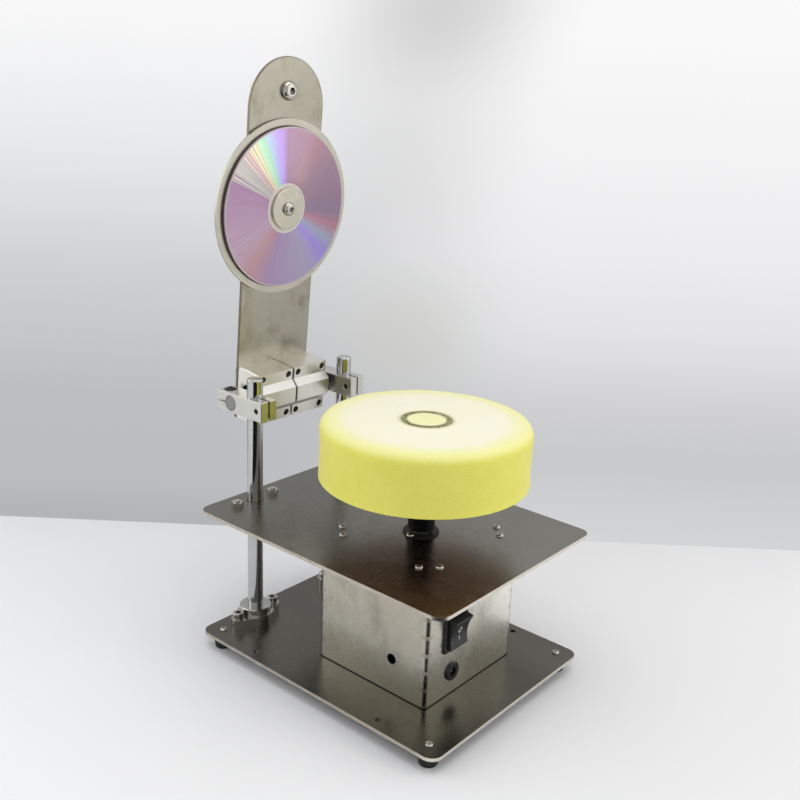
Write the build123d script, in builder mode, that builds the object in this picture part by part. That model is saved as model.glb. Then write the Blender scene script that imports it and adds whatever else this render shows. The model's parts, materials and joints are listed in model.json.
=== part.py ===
from build123d import *
import os
from math import cos, pi, radians, sin, sqrt

os.makedirs("parts", exist_ok=True)

# Frame: millimetres, X to the right, -Y to the front, Z up, origin at the bottom centre of
# the whole machine in its stored pose (arm leaning 4.3 degrees towards the foam wheel).

# ---------------------------------------------------------------- clearances
RUN_FIT = 0.05          # radial running clearance of a pin, shaft or bush that turns or slides
SLIP_FIT = 0.02         # radial clearance of a shaft held in a tightened clamp
SCREW_FIT = 0.2         # radial clearance of a screw in a plain hole
PANEL_FIT = 0.2         # clearance of a snapped-in body in its panel cut-out
MOVE_GAP = 0.4          # gap between faces that move past each other

# ---------------------------------------------------------------- plates and feet
PLATE_W = 180.0
PLATE_D = 234.0
PLATE_T = 2.5
PLATE_CORNER_R = 9.0
FOOT_H = 11.0
FOOT_TOP_R = 7.5
FOOT_BOTTOM_R = 6.5
FOOT_IN_X = 12.0        # foot axis in from the plate's side edge
FOOT_IN_Y = 13.3        # and from its front or back edge
FOOT_X = PLATE_W / 2 - FOOT_IN_X
FOOT_Y = PLATE_D / 2 - FOOT_IN_Y
FOOT_RECESS_R = 3.6
FOOT_RECESS_H = 3.4
BENCH_IN_X = 9.0
BENCH_X = PLATE_W / 2 - BENCH_IN_X
BENCH_Y = 61.5
BENCH_HOLE_R = 2.25
BOX_H = 100.0
BASE_TOP = FOOT_H + PLATE_T
UPPER_BOTTOM = BASE_TOP + BOX_H
UPPER_TOP = UPPER_BOTTOM + PLATE_T

# ---------------------------------------------------------------- fasteners: shank radius,
# head radius, head height, socket width; nuts: width over flats, height
M3_R = 1.5
M3_HEAD_R = 2.85
M3_HEAD_H = 1.65
M3_SOCKET = 2.0
M3_L = 8.0
M3_NUT_AF = 5.5
M3_NUT_H = 2.4
M4_R = 2.0
M4_CAP_R = 3.5
M4_CAP_H = 4.0
M4_SOCKET = 3.0
M5_R = 2.5
M5_CAP_R = 4.25
M5_CAP_H = 5.0
M5_BUTTON_R = 4.75
M5_BUTTON_H = 2.75
M5_SOCKET = 4.0
M5_BUTTON_SOCKET = 3.0
M5_NUT_AF = 8.0
M5_NUT_H = 4.0
M6_R = 3.0
M6_BUTTON_R = 5.25
M6_BUTTON_H = 3.3
M6_SOCKET = 4.0
M6_NUT_AF = 10.0
M6_NUT_H = 5.0
M8_R = 4.0
M8_BUTTON_R = 7.1
M8_BUTTON_H = 4.4
M8_SOCKET = 5.0
TIP = 1.0               # how far a screw end stands out of its nut

# ---------------------------------------------------------------- columns, supports, hinge
COLUMN_R = 6.0
COLUMN_RISE = 98.0      # column top above the upper plate
COLUMN_L = BOX_H + PLATE_T + COLUMN_RISE
COLUMN_IN_X = 42.0      # column axis in from the plate's side edge
COLUMN_X = PLATE_W / 2 - COLUMN_IN_X
COLUMN_IN_Y = 16.9      # column axis in from the plate's back edge
COLUMN_Y = PLATE_D / 2 - COLUMN_IN_Y
COLUMN_ROUND = 1.4
SUPPORT_FLANGE_R = 14.0
SUPPORT_EAR_R = 5.5
SUPPORT_EAR_X = 18.0
SUPPORT_FLANGE_T = 7.0
SUPPORT_COLLAR_R = 12.5
SUPPORT_H = 13.0
SUPPORT_SLIT = 1.5
SUPPORT_SCREW_Y = 10.0
SUPPORT_SCREW_L = 15.0
SUPPORT_SCREW_Z = 4.0
CLAMP_BAR = 15.4
CLAMP_L = 50.0
CLAMP_END = 15.5        # bore axis to the nearer end, both bores
CLAMP_PITCH = CLAMP_L - 2 * CLAMP_END
CLAMP_SLIT = 1.5
CLAMP_SIDE_SCREW = 6.0  # side screw axis behind the front end
CLAMP_TOP_SCREW = 6.6   # top screw axis ahead of the back end
CLAMP_TOP_SINK = 1.5    # depth of the top screw's counterbore
CLAMP_SCREW_RECESS = 3.6
SHAFT_R = 6.0
SHAFT_Y = COLUMN_Y + CLAMP_PITCH
SHAFT_RISE = 75.7       # hinge shaft above the upper plate
SHAFT_Z = UPPER_TOP + SHAFT_RISE
SHAFT_L = 2 * COLUMN_X + CLAMP_BAR

# ---------------------------------------------------------------- bearing blocks on the shaft
BLOCK_GAP = 4.1         # between a block's outer end and its clamp
BLOCK_SPLIT = 1.0       # between the two blocks
BLOCK_L = COLUMN_X - CLAMP_BAR / 2 - BLOCK_GAP - BLOCK_SPLIT / 2
BLOCK_W = 42.0
BLOCK_SHOULDER = 24.0   # mounting face to the shoulder with the screw holes
BLOCK_DEPTH = 29.0      # mounting face to the top of the hump
BLOCK_AXIS = 15.0       # mounting face to the shaft axis
BLOCK_HUMP_W = 22.4
BLOCK_HUMP_TOP = 12.4
BLOCK_TAPER = 1.0       # draw-in of the side faces towards the shoulder
BLOCK_TAPER_AT = 11.0   # mounting face to the start of that taper
BLOCK_HOLE_V = 15.9
BLOCK_HOLE_IN = 4.7     # screw axis in from the block's end
BLOCK_HOLE_U = BLOCK_L / 2 - BLOCK_HOLE_IN
BLOCK_EDGE = 0.6
HOLE_EDGE = 0.35        # break of a screw hole's mouth
BUSH_R = 10.5
BUSH_IN = 3.0           # bush end in from the block's end
BUSH_L = BLOCK_L - 2 * BUSH_IN
RING_T = 1.2
RING_INNER_R = 8.9

# ---------------------------------------------------------------- arm: u right, v up the arm,
# n forward of the shaft axis
LEAN = radians(4.3)
ARM_SIDE = 0.3          # arm plate wider than the blocks on each side
ARM_W = 2 * (BLOCK_L + ARM_SIDE) + BLOCK_SPLIT
ARM_T = 2.0
ARM_BOTTOM = -21.0
ARM_FRONT = -BLOCK_AXIS
ARM_BACK = ARM_FRONT - ARM_T
TRAY_V = 142.2
TRAY_R = 65.5
KNOB_ABOVE_TRAY = 19.3  # knob axis above the tray's rim
KNOB_V = TRAY_V + TRAY_R + KNOB_ABOVE_TRAY
KNOB_TO_TOP = 23.8      # knob axis to the arm's round end
ARM_TOP = KNOB_V + KNOB_TO_TOP
KNOB_R = 7.75
KNOB_L = 33.0
KNOB_ROUND = 2.5
KNOB_THREAD = 16.0
BLOCK_SCREW_IN = 12.0   # screw length inside the block

# ---------------------------------------------------------------- disc tray
TRAY_GAP = 0.6
TRAY_T = 2.0
PAD_R = 60.5
PAD_T = 1.6
DISC_R = 60.0
DISC_T = 1.2
DISC_HOLE_R = 7.5
CLAMP_DISC_R = 15.5
CLAMP_DISC_T = 2.0
SLEEVE_R = 4.0
TRAY_BUSH_R = 6.0
HOUSING_R = 15.0
HOUSING_T = 9.0
HOUSING_SCREW_AT = 10.8
HOUSING_SCREW_L = 8.0
HOUSING_SCREW_HEAD = 2.8
WASHER_R = 6.2
WASHER_T = 1.2

# ---------------------------------------------------------------- foam wheel and its drive
WHEEL_Y = -26.5         # from the plate centre
WHEEL_R = 76.0
WHEEL_H = 43.4
WHEEL_RISE = 43.5       # underside of the foam above the upper plate
WHEEL_BOTTOM = UPPER_TOP + WHEEL_RISE
WHEEL_TOP_ROUND = 5.5
WHEEL_BOTTOM_ROUND = 0.8
BACKING_R = 65.0
BACKING_T = 2.0
BACKING_BOSS_R = 14.0
BACKING_BOSS_H = 8.0
HUB_R = 10.0
HUB_GAP = 3.5           # hub above the upper plate, clear of the motor screws
HUB_BOTTOM = UPPER_TOP + HUB_GAP
HUB_STUD_R = 4.0
HUB_STUD_H = 8.0
HUB_BORE_L = 24.5
HUB_BORE_TOP = HUB_BOTTOM + HUB_BORE_L
HUB_SCREW_RISE = 7.5
HUB_SCREW_Z = HUB_BOTTOM + HUB_SCREW_RISE
MOTOR_R = 18.0
MOTOR_L = 57.0
MOTOR_CAP_T = 7.0
MOTOR_CAP_STEP = 0.6
MOTOR_BOSS_R = 6.5
MOTOR_BOSS_H = 4.5
MOTOR_SHAFT_R = 2.5
MOTOR_SHAFT_IN = 12.0
MOTOR_SCREW_X = 12.5
MOTOR_SCREW_L = 8.0
MOTOR_TAG = (0.8, 4.0, 7.0)
MOTOR_TAG_X = 9.0
SEAL_R = 13.3
SEAL_EAR_R = 3.4
SEAL_T = 1.0

# ---------------------------------------------------------------- motor box
BOX_W = 102.0
BOX_T = 1.5
BOX_BEND_R = 2.5
BOX_LIP = 11.0
BOX_LIP_RELIEF = 2.0
BOX_SCREW_IN = 5.5      # screw axis in from the wall it holds
BOX_SCREW_ALONG = 15.5  # and from the next wall
BOX_SCREW_FAR = BOX_W / 2 - BOX_SCREW_IN
BOX_SCREW_NEAR = BOX_W / 2 - BOX_SCREW_ALONG
SLOT_COUNT = 7
SLOT_L = 10.6
SLOT_FIRST = 2.6        # lowest slot above the box's foot
SLOT_LAST = 4.6         # highest slot below its top
SLOT_PITCH = (BOX_H - SLOT_FIRST - SLOT_LAST - SLOT_L) / (SLOT_COUNT - 1)
SLOT_W = 1.6
SEAM_W = 0.4
SIDE_HOLE_Y = -46.0     # from the plate centre
SIDE_HOLE_RISE = 27.3
SIDE_HOLE_Z = BASE_TOP + SIDE_HOLE_RISE
SIDE_HOLE_R = 4.0

# ---------------------------------------------------------------- switch and power inlet
SWITCH_X = -21.0
SWITCH_RISE = 52.0
SWITCH_Z = BASE_TOP + SWITCH_RISE
BEZEL_W = 25.5
BEZEL_H = 31.0
BEZEL_T = 2.0
SWITCH_BODY_W = 22.0
SWITCH_BODY_H = 27.0
SWITCH_BODY_D = 20.0
ROCKER_W = 19.0
ROCKER_H = 23.2
ROCKER_SIDE_GAP = 0.4
ROCKER_END_GAP = 1.3
ROCKER_AXIS = 4.0       # pivot behind the bezel face
ROCKER_LOBE = 5.4
ROCKER_VALLEY = 2.5
ROCKER_BACK = 7.0
ROCKER_PIN_R = 1.5
ROCKER_PIN_L = 0.8
ROCKER_TILT = 9.0
SWITCH_CAVITY = 13.0
SWITCH_TAG = (4.8, 0.8, 8.0)
SWITCH_TAG_Z = 8.0
JACK_X = -22.0
JACK_RISE = 18.5
JACK_Z = BASE_TOP + JACK_RISE
JACK_FLANGE_R = 7.0
JACK_FLANGE_T = 1.8
JACK_BODY_R = 5.4
JACK_BODY_L = 17.0
JACK_BORE_R = 3.1
JACK_BORE_L = 11.0
JACK_PIN_R = 1.0
JACK_NUT_AF = 14.0
JACK_NUT_T = 3.0

# ---------------------------------------------------------------- placing
# The rearmost point of the machine is the rounded end of the knob; the plates are shifted
# so that the whole machine is centred on Y.
KNOB_BACK = ARM_BACK - KNOB_L
knob_lower_v = KNOB_V - (KNOB_R - KNOB_ROUND)
back_reach = SHAFT_Y - knob_lower_v * sin(LEAN) - (KNOB_BACK + KNOB_ROUND) * cos(LEAN) + KNOB_ROUND
PLATE_Y = (PLATE_D / 2 - back_reach) / 2


def at_plate(x, y, z):
    """Plane parallel to the plates, x and y from the plate centre."""
    return Plane(origin=(x, PLATE_Y + y, z), x_dir=(1, 0, 0), z_dir=(0, 0, 1))


def below_plate(x, y, z):
    """The same, facing down."""
    return Plane(origin=(x, PLATE_Y + y, z), x_dir=(1, 0, 0), z_dir=(0, 0, -1))


def on_arm(u, v, n, facing=1):
    """Plane square to the arm, u and v along it and n ahead of the shaft axis."""
    y = PLATE_Y + SHAFT_Y - v * sin(LEAN) - n * cos(LEAN)
    z = SHAFT_Z + v * cos(LEAN) - n * sin(LEAN)
    ahead = (0, -facing * cos(LEAN), -facing * sin(LEAN))
    return Plane(origin=(u, y, z), x_dir=(1, 0, 0), z_dir=ahead)


def facing_x(x, y, z, way=1):
    """Plane square to X, y from the plate centre."""
    return Plane(origin=(x, PLATE_Y + y, z), x_dir=(0, way, 0), z_dir=(way, 0, 0))


def facing_front(x, y, z, way=1):
    """Plane square to Y that looks to the front, y from the plate centre."""
    return Plane(origin=(x, PLATE_Y + y, z), x_dir=(way, 0, 0), z_dir=(0, -way, 0))


def rod(r, length):
    """Cylinder from z 0 upwards."""
    return Cylinder(r, length, align=(Align.CENTER, Align.CENTER, Align.MIN))


def ring(outer, inner, length):
    """Tube from z 0 upwards."""
    return rod(outer, length) - rod(inner, length)


def hexagon(flats, length):
    """Hexagonal prism from z 0 upwards."""
    return extrude(RegularPolygon(flats / 2, 6, major_radius=False), length)


def button_screw(r, head_r, head_h, length, socket):
    """Domed socket screw: head above z 0, shank below."""
    head = rod(head_r, head_h)
    head = fillet(head.edges().group_by(Axis.Z)[-1], 0.85 * head_h)
    shank = Pos(0, 0, -length) * rod(r, length)
    return head + shank - Pos(0, 0, 0.4 * head_h) * hexagon(socket, head_h)


def cap_screw(r, head_r, head_h, length, socket):
    """Cylindrical socket screw: head above z 0, shank below."""
    head = rod(head_r, head_h)
    head = chamfer(head.edges().group_by(Axis.Z)[-1], 0.4)
    shank = Pos(0, 0, -length) * rod(r, length)
    return head + shank - Pos(0, 0, 0.45 * head_h) * hexagon(socket, head_h)


def set_screw(r, length, socket):
    """Headless socket screw from z 0 downwards."""
    return Pos(0, 0, -length) * rod(r, length) - Pos(0, 0, -2) * hexagon(socket, 2)


def hex_nut(r, flats, height):
    """Nut from z 0 upwards, bored to the screw's own radius."""
    blank = rod(flats / sqrt(3), height)
    blank = chamfer(blank.edges().group_by(Axis.Z)[0] + blank.edges().group_by(Axis.Z)[-1], 0.45)
    return (hexagon(flats, height) & blank) - rod(r, height)


m3_screw = button_screw(M3_R, M3_HEAD_R, M3_HEAD_H, M3_L, M3_SOCKET)
foot_points = [(x, y) for x in (-FOOT_X, FOOT_X) for y in (-FOOT_Y, FOOT_Y)]
bench_points = [(x, y) for x in (-BENCH_X, BENCH_X) for y in (-BENCH_Y, BENCH_Y)]
ear_points = [(side * COLUMN_X + ear, COLUMN_Y)
              for side in (-1, 1) for ear in (-SUPPORT_EAR_X, SUPPORT_EAR_X)]
box_points = [(sx * a, WHEEL_Y + sy * b) for sx in (-1, 1) for sy in (-1, 1)
              for a, b in ((BOX_SCREW_FAR, BOX_SCREW_NEAR), (BOX_SCREW_NEAR, BOX_SCREW_FAR))]

# ================================================================ base plate and feet
with BuildPart() as base_plate:
    with BuildSketch(at_plate(0, 0, FOOT_H)):
        RectangleRounded(PLATE_W, PLATE_D, PLATE_CORNER_R)
        with Locations(*foot_points):
            Circle(M3_R + SCREW_FIT, mode=Mode.SUBTRACT)
        with Locations(*bench_points):
            Circle(BENCH_HOLE_R, mode=Mode.SUBTRACT)
        with Locations(*ear_points):
            Circle(M5_R + SCREW_FIT, mode=Mode.SUBTRACT)
        with Locations(*box_points):
            Circle(M3_R + SCREW_FIT, mode=Mode.SUBTRACT)
    extrude(amount=PLATE_T)
base_plate.part.label = "base_plate"
export_step(base_plate.part, "parts/base_plate.step")

foot_blank = Cone(FOOT_BOTTOM_R, FOOT_TOP_R, FOOT_H, align=(Align.CENTER, Align.CENTER, Align.MIN))
foot_blank = fillet(foot_blank.edges().group_by(Axis.Z)[0], 0.6)
foot = foot_blank - rod(M3_R + SCREW_FIT, FOOT_H) - rod(FOOT_RECESS_R, FOOT_RECESS_H)

with BuildPart() as rubber_feet:
    add([at_plate(x, y, 0) * foot for x, y in foot_points])
rubber_feet.part.label = "rubber_feet"
export_step(rubber_feet.part, "parts/rubber_feet.step")

foot_shank = PLATE_T + FOOT_H - FOOT_RECESS_H + M3_NUT_H + 0.4
foot_screw = button_screw(M3_R, M3_HEAD_R, M3_HEAD_H, foot_shank, M3_SOCKET)
foot_nut = hex_nut(M3_R, M3_NUT_AF, M3_NUT_H)

with BuildPart() as foot_screws:
    add([at_plate(x, y, BASE_TOP) * foot_screw for x, y in foot_points])
foot_screws.part.label = "foot_screws"
export_step(foot_screws.part, "parts/foot_screws.step")

with BuildPart() as foot_nuts:
    add([below_plate(x, y, FOOT_RECESS_H) * foot_nut for x, y in foot_points])
foot_nuts.part.label = "foot_nuts"
export_step(foot_nuts.part, "parts/foot_nuts.step")

# ================================================================ columns and their supports
column = rod(COLUMN_R, COLUMN_L)
column = fillet(column.edges().group_by(Axis.Z)[-1], COLUMN_ROUND)
column = chamfer(column.edges().group_by(Axis.Z)[0], 0.8)

with BuildPart() as column_left:
    add(at_plate(-COLUMN_X, COLUMN_Y, BASE_TOP) * column)
column_left.part.label = "column_left"
export_step(column_left.part, "parts/column_left.step")

with BuildPart() as column_right:
    add(at_plate(COLUMN_X, COLUMN_Y, BASE_TOP) * column)
column_right.part.label = "column_right"
export_step(column_right.part, "parts/column_right.step")

with BuildPart() as shaft_support:
    with BuildSketch():
        Circle(SUPPORT_FLANGE_R)
        with Locations((-SUPPORT_EAR_X, 0), (SUPPORT_EAR_X, 0)):
            Circle(SUPPORT_EAR_R)
        make_hull()
    extrude(amount=SUPPORT_FLANGE_T)
    with BuildSketch(Plane.XY.offset(SUPPORT_FLANGE_T)):
        Circle(SUPPORT_COLLAR_R)
    extrude(amount=SUPPORT_H - SUPPORT_FLANGE_T)
    chamfer(shaft_support.edges().group_by(Axis.Z)[-1], 0.5)
    with BuildSketch():
        Circle(COLUMN_R + SLIP_FIT)
        with Locations((0, SUPPORT_FLANGE_R / 2)):
            Rectangle(SUPPORT_SLIT, SUPPORT_FLANGE_R + 1)
        with Locations((-SUPPORT_EAR_X, 0), (SUPPORT_EAR_X, 0)):
            Circle(M5_R + SCREW_FIT)
    extrude(amount=SUPPORT_H, mode=Mode.SUBTRACT)
    with BuildSketch(Plane.YZ.offset(-SUPPORT_EAR_X)):
        with Locations((SUPPORT_SCREW_Y, SUPPORT_SCREW_Z)):
            Circle(M4_R)
    extrude(amount=2 * SUPPORT_EAR_X, mode=Mode.SUBTRACT)

with BuildPart() as supports_lower:
    add([at_plate(side * COLUMN_X, COLUMN_Y, BASE_TOP) * shaft_support.part for side in (-1, 1)])
supports_lower.part.label = "supports_lower"
export_step(supports_lower.part, "parts/supports_lower.step")

with BuildPart() as supports_upper:
    turned = Rot(180, 0, 180) * shaft_support.part
    add([at_plate(side * COLUMN_X, COLUMN_Y, UPPER_BOTTOM) * turned for side in (-1, 1)])
supports_upper.part.label = "supports_upper"
export_step(supports_upper.part, "parts/supports_upper.step")

support_grub = set_screw(M4_R, SUPPORT_SCREW_L, M4_SOCKET - 1)
grub_x = SUPPORT_SCREW_L / 2

with BuildPart() as support_clamp_screws:
    for side in (-1, 1):
        for z in (BASE_TOP + SUPPORT_SCREW_Z, UPPER_BOTTOM - SUPPORT_SCREW_Z):
            add(facing_x(side * COLUMN_X + grub_x, COLUMN_Y + SUPPORT_SCREW_Y, z) * support_grub)
support_clamp_screws.part.label = "support_clamp_screws"
export_step(support_clamp_screws.part, "parts/support_clamp_screws.step")

support_screw_l = SUPPORT_FLANGE_T + PLATE_T + M5_NUT_H + TIP
support_screw = cap_screw(M5_R, M5_CAP_R, M5_CAP_H, support_screw_l, M5_SOCKET)
support_nut = hex_nut(M5_R, M5_NUT_AF, M5_NUT_H)

with BuildPart() as support_screws_lower:
    add([at_plate(x, y, BASE_TOP + SUPPORT_FLANGE_T) * support_screw for x, y in ear_points])
support_screws_lower.part.label = "support_screws_lower"
export_step(support_screws_lower.part, "parts/support_screws_lower.step")

with BuildPart() as support_nuts_lower:
    add([below_plate(x, y, FOOT_H) * support_nut for x, y in ear_points])
support_nuts_lower.part.label = "support_nuts_lower"
export_step(support_nuts_lower.part, "parts/support_nuts_lower.step")

with BuildPart() as support_screws_upper:
    add([below_plate(x, y, UPPER_BOTTOM - SUPPORT_FLANGE_T) * support_screw for x, y in ear_points])
support_screws_upper.part.label = "support_screws_upper"
export_step(support_screws_upper.part, "parts/support_screws_upper.step")

with BuildPart() as support_nuts_upper:
    add([at_plate(x, y, UPPER_TOP) * (Rot(0, 0, 20) * support_nut) for x, y in ear_points])
support_nuts_upper.part.label = "support_nuts_upper"
export_step(support_nuts_upper.part, "parts/support_nuts_upper.step")

# ================================================================ upper plate and motor box
with BuildPart() as upper_plate:
    with BuildSketch(at_plate(0, 0, UPPER_BOTTOM)):
        RectangleRounded(PLATE_W, PLATE_D, PLATE_CORNER_R)
        with Locations((-COLUMN_X, COLUMN_Y), (COLUMN_X, COLUMN_Y)):
            Circle(COLUMN_R + 2 * SCREW_FIT, mode=Mode.SUBTRACT)
        with Locations(*ear_points):
            Circle(M5_R + SCREW_FIT, mode=Mode.SUBTRACT)
        with Locations(*box_points):
            Circle(M3_R + SCREW_FIT, mode=Mode.SUBTRACT)
        with Locations((0, WHEEL_Y)):
            Circle(MOTOR_BOSS_R + SCREW_FIT, mode=Mode.SUBTRACT)
        with Locations((-MOTOR_SCREW_X, WHEEL_Y), (MOTOR_SCREW_X, WHEEL_Y)):
            Circle(M3_R + SCREW_FIT, mode=Mode.SUBTRACT)
    extrude(amount=PLATE_T)
upper_plate.part.label = "upper_plate"
export_step(upper_plate.part, "parts/upper_plate.step")

box_half = BOX_W / 2
box_front = WHEEL_Y - box_half
box_edge = box_half - BOX_BEND_R * (1 - 1 / sqrt(2))    # bend surface on the diagonal

with BuildPart() as motor_box:
    with BuildSketch(at_plate(0, WHEEL_Y, BASE_TOP)):
        RectangleRounded(BOX_W, BOX_W, BOX_BEND_R)
        Rectangle(BOX_W - 2 * BOX_T, BOX_W - 2 * BOX_T, mode=Mode.SUBTRACT)
    extrude(amount=BOX_H)
    for lip_z in (BASE_TOP, UPPER_BOTTOM - BOX_T):
        with BuildSketch(at_plate(0, WHEEL_Y, lip_z)):
            Rectangle(BOX_W - 2 * BOX_T, BOX_W - 2 * BOX_T)
            Rectangle(BOX_W - 2 * BOX_LIP, BOX_W - 2 * BOX_LIP, mode=Mode.SUBTRACT)
            for turn in (45, -45):
                with Locations(Rotation(0, 0, turn)):
                    Rectangle(1.5 * BOX_W, BOX_LIP_RELIEF, mode=Mode.SUBTRACT)
            for sx in (-1, 1):
                for sy in (-1, 1):
                    with Locations((sx * BOX_SCREW_FAR, sy * BOX_SCREW_NEAR),
                                   (sx * BOX_SCREW_NEAR, sy * BOX_SCREW_FAR)):
                        Circle(M3_R, mode=Mode.SUBTRACT)
        extrude(amount=BOX_T)
    # broken bend lines: a row of slots down three corners
    for sx, sy in ((-1, -1), (1, -1), (-1, 1)):
        for i in range(SLOT_COUNT):
            slot_z = BASE_TOP + SLOT_FIRST + SLOT_L / 2 + i * SLOT_PITCH
            with Locations(at_plate(sx * box_half, WHEEL_Y + sy * box_half, slot_z).location):
                Box(3.5 * BOX_T, SLOT_W, SLOT_L, rotation=(0, 0, 45 * sx * sy), mode=Mode.SUBTRACT)
    # open seam down the fourth corner
    with Locations(at_plate(box_half, WHEEL_Y + box_half, BASE_TOP + BOX_H / 2).location):
        Box(4 * BOX_T, SEAM_W, BOX_H, rotation=(0, 0, 45), mode=Mode.SUBTRACT)
    with BuildSketch(facing_front(0, box_front - 1, 0)):
        with Locations((SWITCH_X, SWITCH_Z)):
            Rectangle(SWITCH_BODY_W + 2 * PANEL_FIT, SWITCH_BODY_H + 2 * PANEL_FIT)
        with Locations((JACK_X, JACK_Z)):
            Circle(JACK_BODY_R + PANEL_FIT)
    extrude(amount=-4 * BOX_T, mode=Mode.SUBTRACT)
    with BuildSketch(facing_x(-box_half - 1, SIDE_HOLE_Y, SIDE_HOLE_Z)):
        Circle(SIDE_HOLE_R)
    extrude(amount=4 * BOX_T, mode=Mode.SUBTRACT)
motor_box.part.label = "motor_box"
export_step(motor_box.part, "parts/motor_box.step")

with BuildPart() as box_screws_top:
    add([at_plate(x, y, UPPER_TOP) * m3_screw for x, y in box_points])
box_screws_top.part.label = "box_screws_top"
export_step(box_screws_top.part, "parts/box_screws_top.step")

with BuildPart() as box_screws_bottom:
    add([below_plate(x, y, FOOT_H) * m3_screw for x, y in box_points])
box_screws_bottom.part.label = "box_screws_bottom"
export_step(box_screws_bottom.part, "parts/box_screws_bottom.step")

# ================================================================ motor
motor_bottom = UPPER_BOTTOM - MOTOR_L
can_l = MOTOR_L - MOTOR_CAP_T

with BuildPart() as motor_can:
    with BuildSketch(at_plate(0, WHEEL_Y, UPPER_BOTTOM - can_l)):
        Circle(MOTOR_R)
    extrude(amount=can_l)
    fillet(motor_can.edges().group_by(Axis.Z)[-1], 1.0)
    with BuildSketch(at_plate(0, WHEEL_Y, UPPER_BOTTOM)):
        Circle(MOTOR_BOSS_R)
    extrude(amount=MOTOR_BOSS_H)
    with BuildSketch(at_plate(0, WHEEL_Y, UPPER_BOTTOM + MOTOR_BOSS_H)):
        Circle(MOTOR_SHAFT_R + RUN_FIT)
    extrude(amount=-(MOTOR_BOSS_H + MOTOR_SHAFT_IN + MOVE_GAP), mode=Mode.SUBTRACT)
    with BuildSketch(at_plate(0, WHEEL_Y, UPPER_BOTTOM)):
        with Locations((-MOTOR_SCREW_X, 0), (MOTOR_SCREW_X, 0)):
            Circle(M3_R)
    extrude(amount=-MOTOR_SCREW_L, mode=Mode.SUBTRACT)
motor_can.part.label = "motor_can"
export_step(motor_can.part, "parts/motor_can.step")

with BuildPart() as motor_cap:
    with BuildSketch(at_plate(0, WHEEL_Y, motor_bottom)):
        Circle(MOTOR_R - MOTOR_CAP_STEP)
    extrude(amount=MOTOR_CAP_T)
    with BuildSketch(at_plate(0, WHEEL_Y, motor_bottom)):
        Circle(MOTOR_R / 3)
    extrude(amount=-2)
motor_cap.part.label = "motor_cap"
export_step(motor_cap.part, "parts/motor_cap.step")

with BuildPart() as motor_tags:
    for side in (-1, 1):
        with Locations(at_plate(side * MOTOR_TAG_X, WHEEL_Y, motor_bottom).location):
            Box(*MOTOR_TAG, align=(Align.CENTER, Align.CENTER, Align.MAX))
motor_tags.part.label = "motor_tags"
export_step(motor_tags.part, "parts/motor_tags.step")

motor_screw = button_screw(M3_R, M3_HEAD_R, M3_HEAD_H, SEAL_T + PLATE_T + MOTOR_SCREW_L - 1, M3_SOCKET)

with BuildPart() as motor_screws:
    for side in (-1, 1):
        add(at_plate(side * MOTOR_SCREW_X, WHEEL_Y, UPPER_TOP + SEAL_T) * motor_screw)
motor_screws.part.label = "motor_screws"
export_step(motor_screws.part, "parts/motor_screws.step")

with BuildPart() as motor_seal:
    with BuildSketch(at_plate(0, WHEEL_Y, UPPER_TOP)):
        Circle(SEAL_R)
        with Locations((-MOTOR_SCREW_X, 0), (MOTOR_SCREW_X, 0)):
            Circle(SEAL_EAR_R)
            Circle(M3_R + SCREW_FIT, mode=Mode.SUBTRACT)
        Circle(MOTOR_BOSS_R + SCREW_FIT, mode=Mode.SUBTRACT)
    extrude(amount=SEAL_T)
motor_seal.part.label = "motor_seal"
export_step(motor_seal.part, "parts/motor_seal.step")

# ================================================================ turning wheel
with BuildPart() as motor_shaft:
    with BuildSketch(at_plate(0, WHEEL_Y, UPPER_BOTTOM - MOTOR_SHAFT_IN)):
        Circle(MOTOR_SHAFT_R)
    extrude(amount=HUB_BORE_TOP - UPPER_BOTTOM + MOTOR_SHAFT_IN)
motor_shaft.part.label = "motor_shaft"
export_step(motor_shaft.part, "parts/motor_shaft.step")

hub_top = WHEEL_BOTTOM - BACKING_T

with BuildPart() as wheel_hub:
    with BuildSketch(at_plate(0, WHEEL_Y, HUB_BOTTOM)):
        Circle(HUB_R)
    extrude(amount=hub_top - HUB_BOTTOM)
    chamfer(wheel_hub.edges().group_by(Axis.Z)[0], 0.6)
    with BuildSketch(at_plate(0, WHEEL_Y, hub_top)):
        Circle(HUB_STUD_R)
    extrude(amount=HUB_STUD_H)
    with BuildSketch(at_plate(0, WHEEL_Y, HUB_BOTTOM)):
        Circle(MOTOR_SHAFT_R)
    extrude(amount=HUB_BORE_TOP - HUB_BOTTOM, mode=Mode.SUBTRACT)
    with BuildSketch(facing_x(0, WHEEL_Y, HUB_SCREW_Z)):
        Circle(M4_R)
    extrude(amount=HUB_R, mode=Mode.SUBTRACT)
wheel_hub.part.label = "wheel_hub"
export_step(wheel_hub.part, "parts/wheel_hub.step")

hub_grub = set_screw(M4_R, HUB_R - MOTOR_SHAFT_R - 0.5, M4_SOCKET - 1)

with BuildPart() as hub_screw:
    add(facing_x(HUB_R - 0.5, WHEEL_Y, HUB_SCREW_Z) * hub_grub)
hub_screw.part.label = "hub_screw"
export_step(hub_screw.part, "parts/hub_screw.step")

with BuildPart() as wheel_backing:
    with BuildSketch(at_plate(0, WHEEL_Y, hub_top)):
        Circle(BACKING_R)
    extrude(amount=BACKING_T)
    with BuildSketch(at_plate(0, WHEEL_Y, WHEEL_BOTTOM)):
        Circle(BACKING_BOSS_R)
    extrude(amount=BACKING_BOSS_H)
    with BuildSketch(at_plate(0, WHEEL_Y, hub_top)):
        Circle(HUB_STUD_R)
    extrude(amount=HUB_STUD_H, mode=Mode.SUBTRACT)
wheel_backing.part.label = "wheel_backing"
export_step(wheel_backing.part, "parts/wheel_backing.step")

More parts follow.
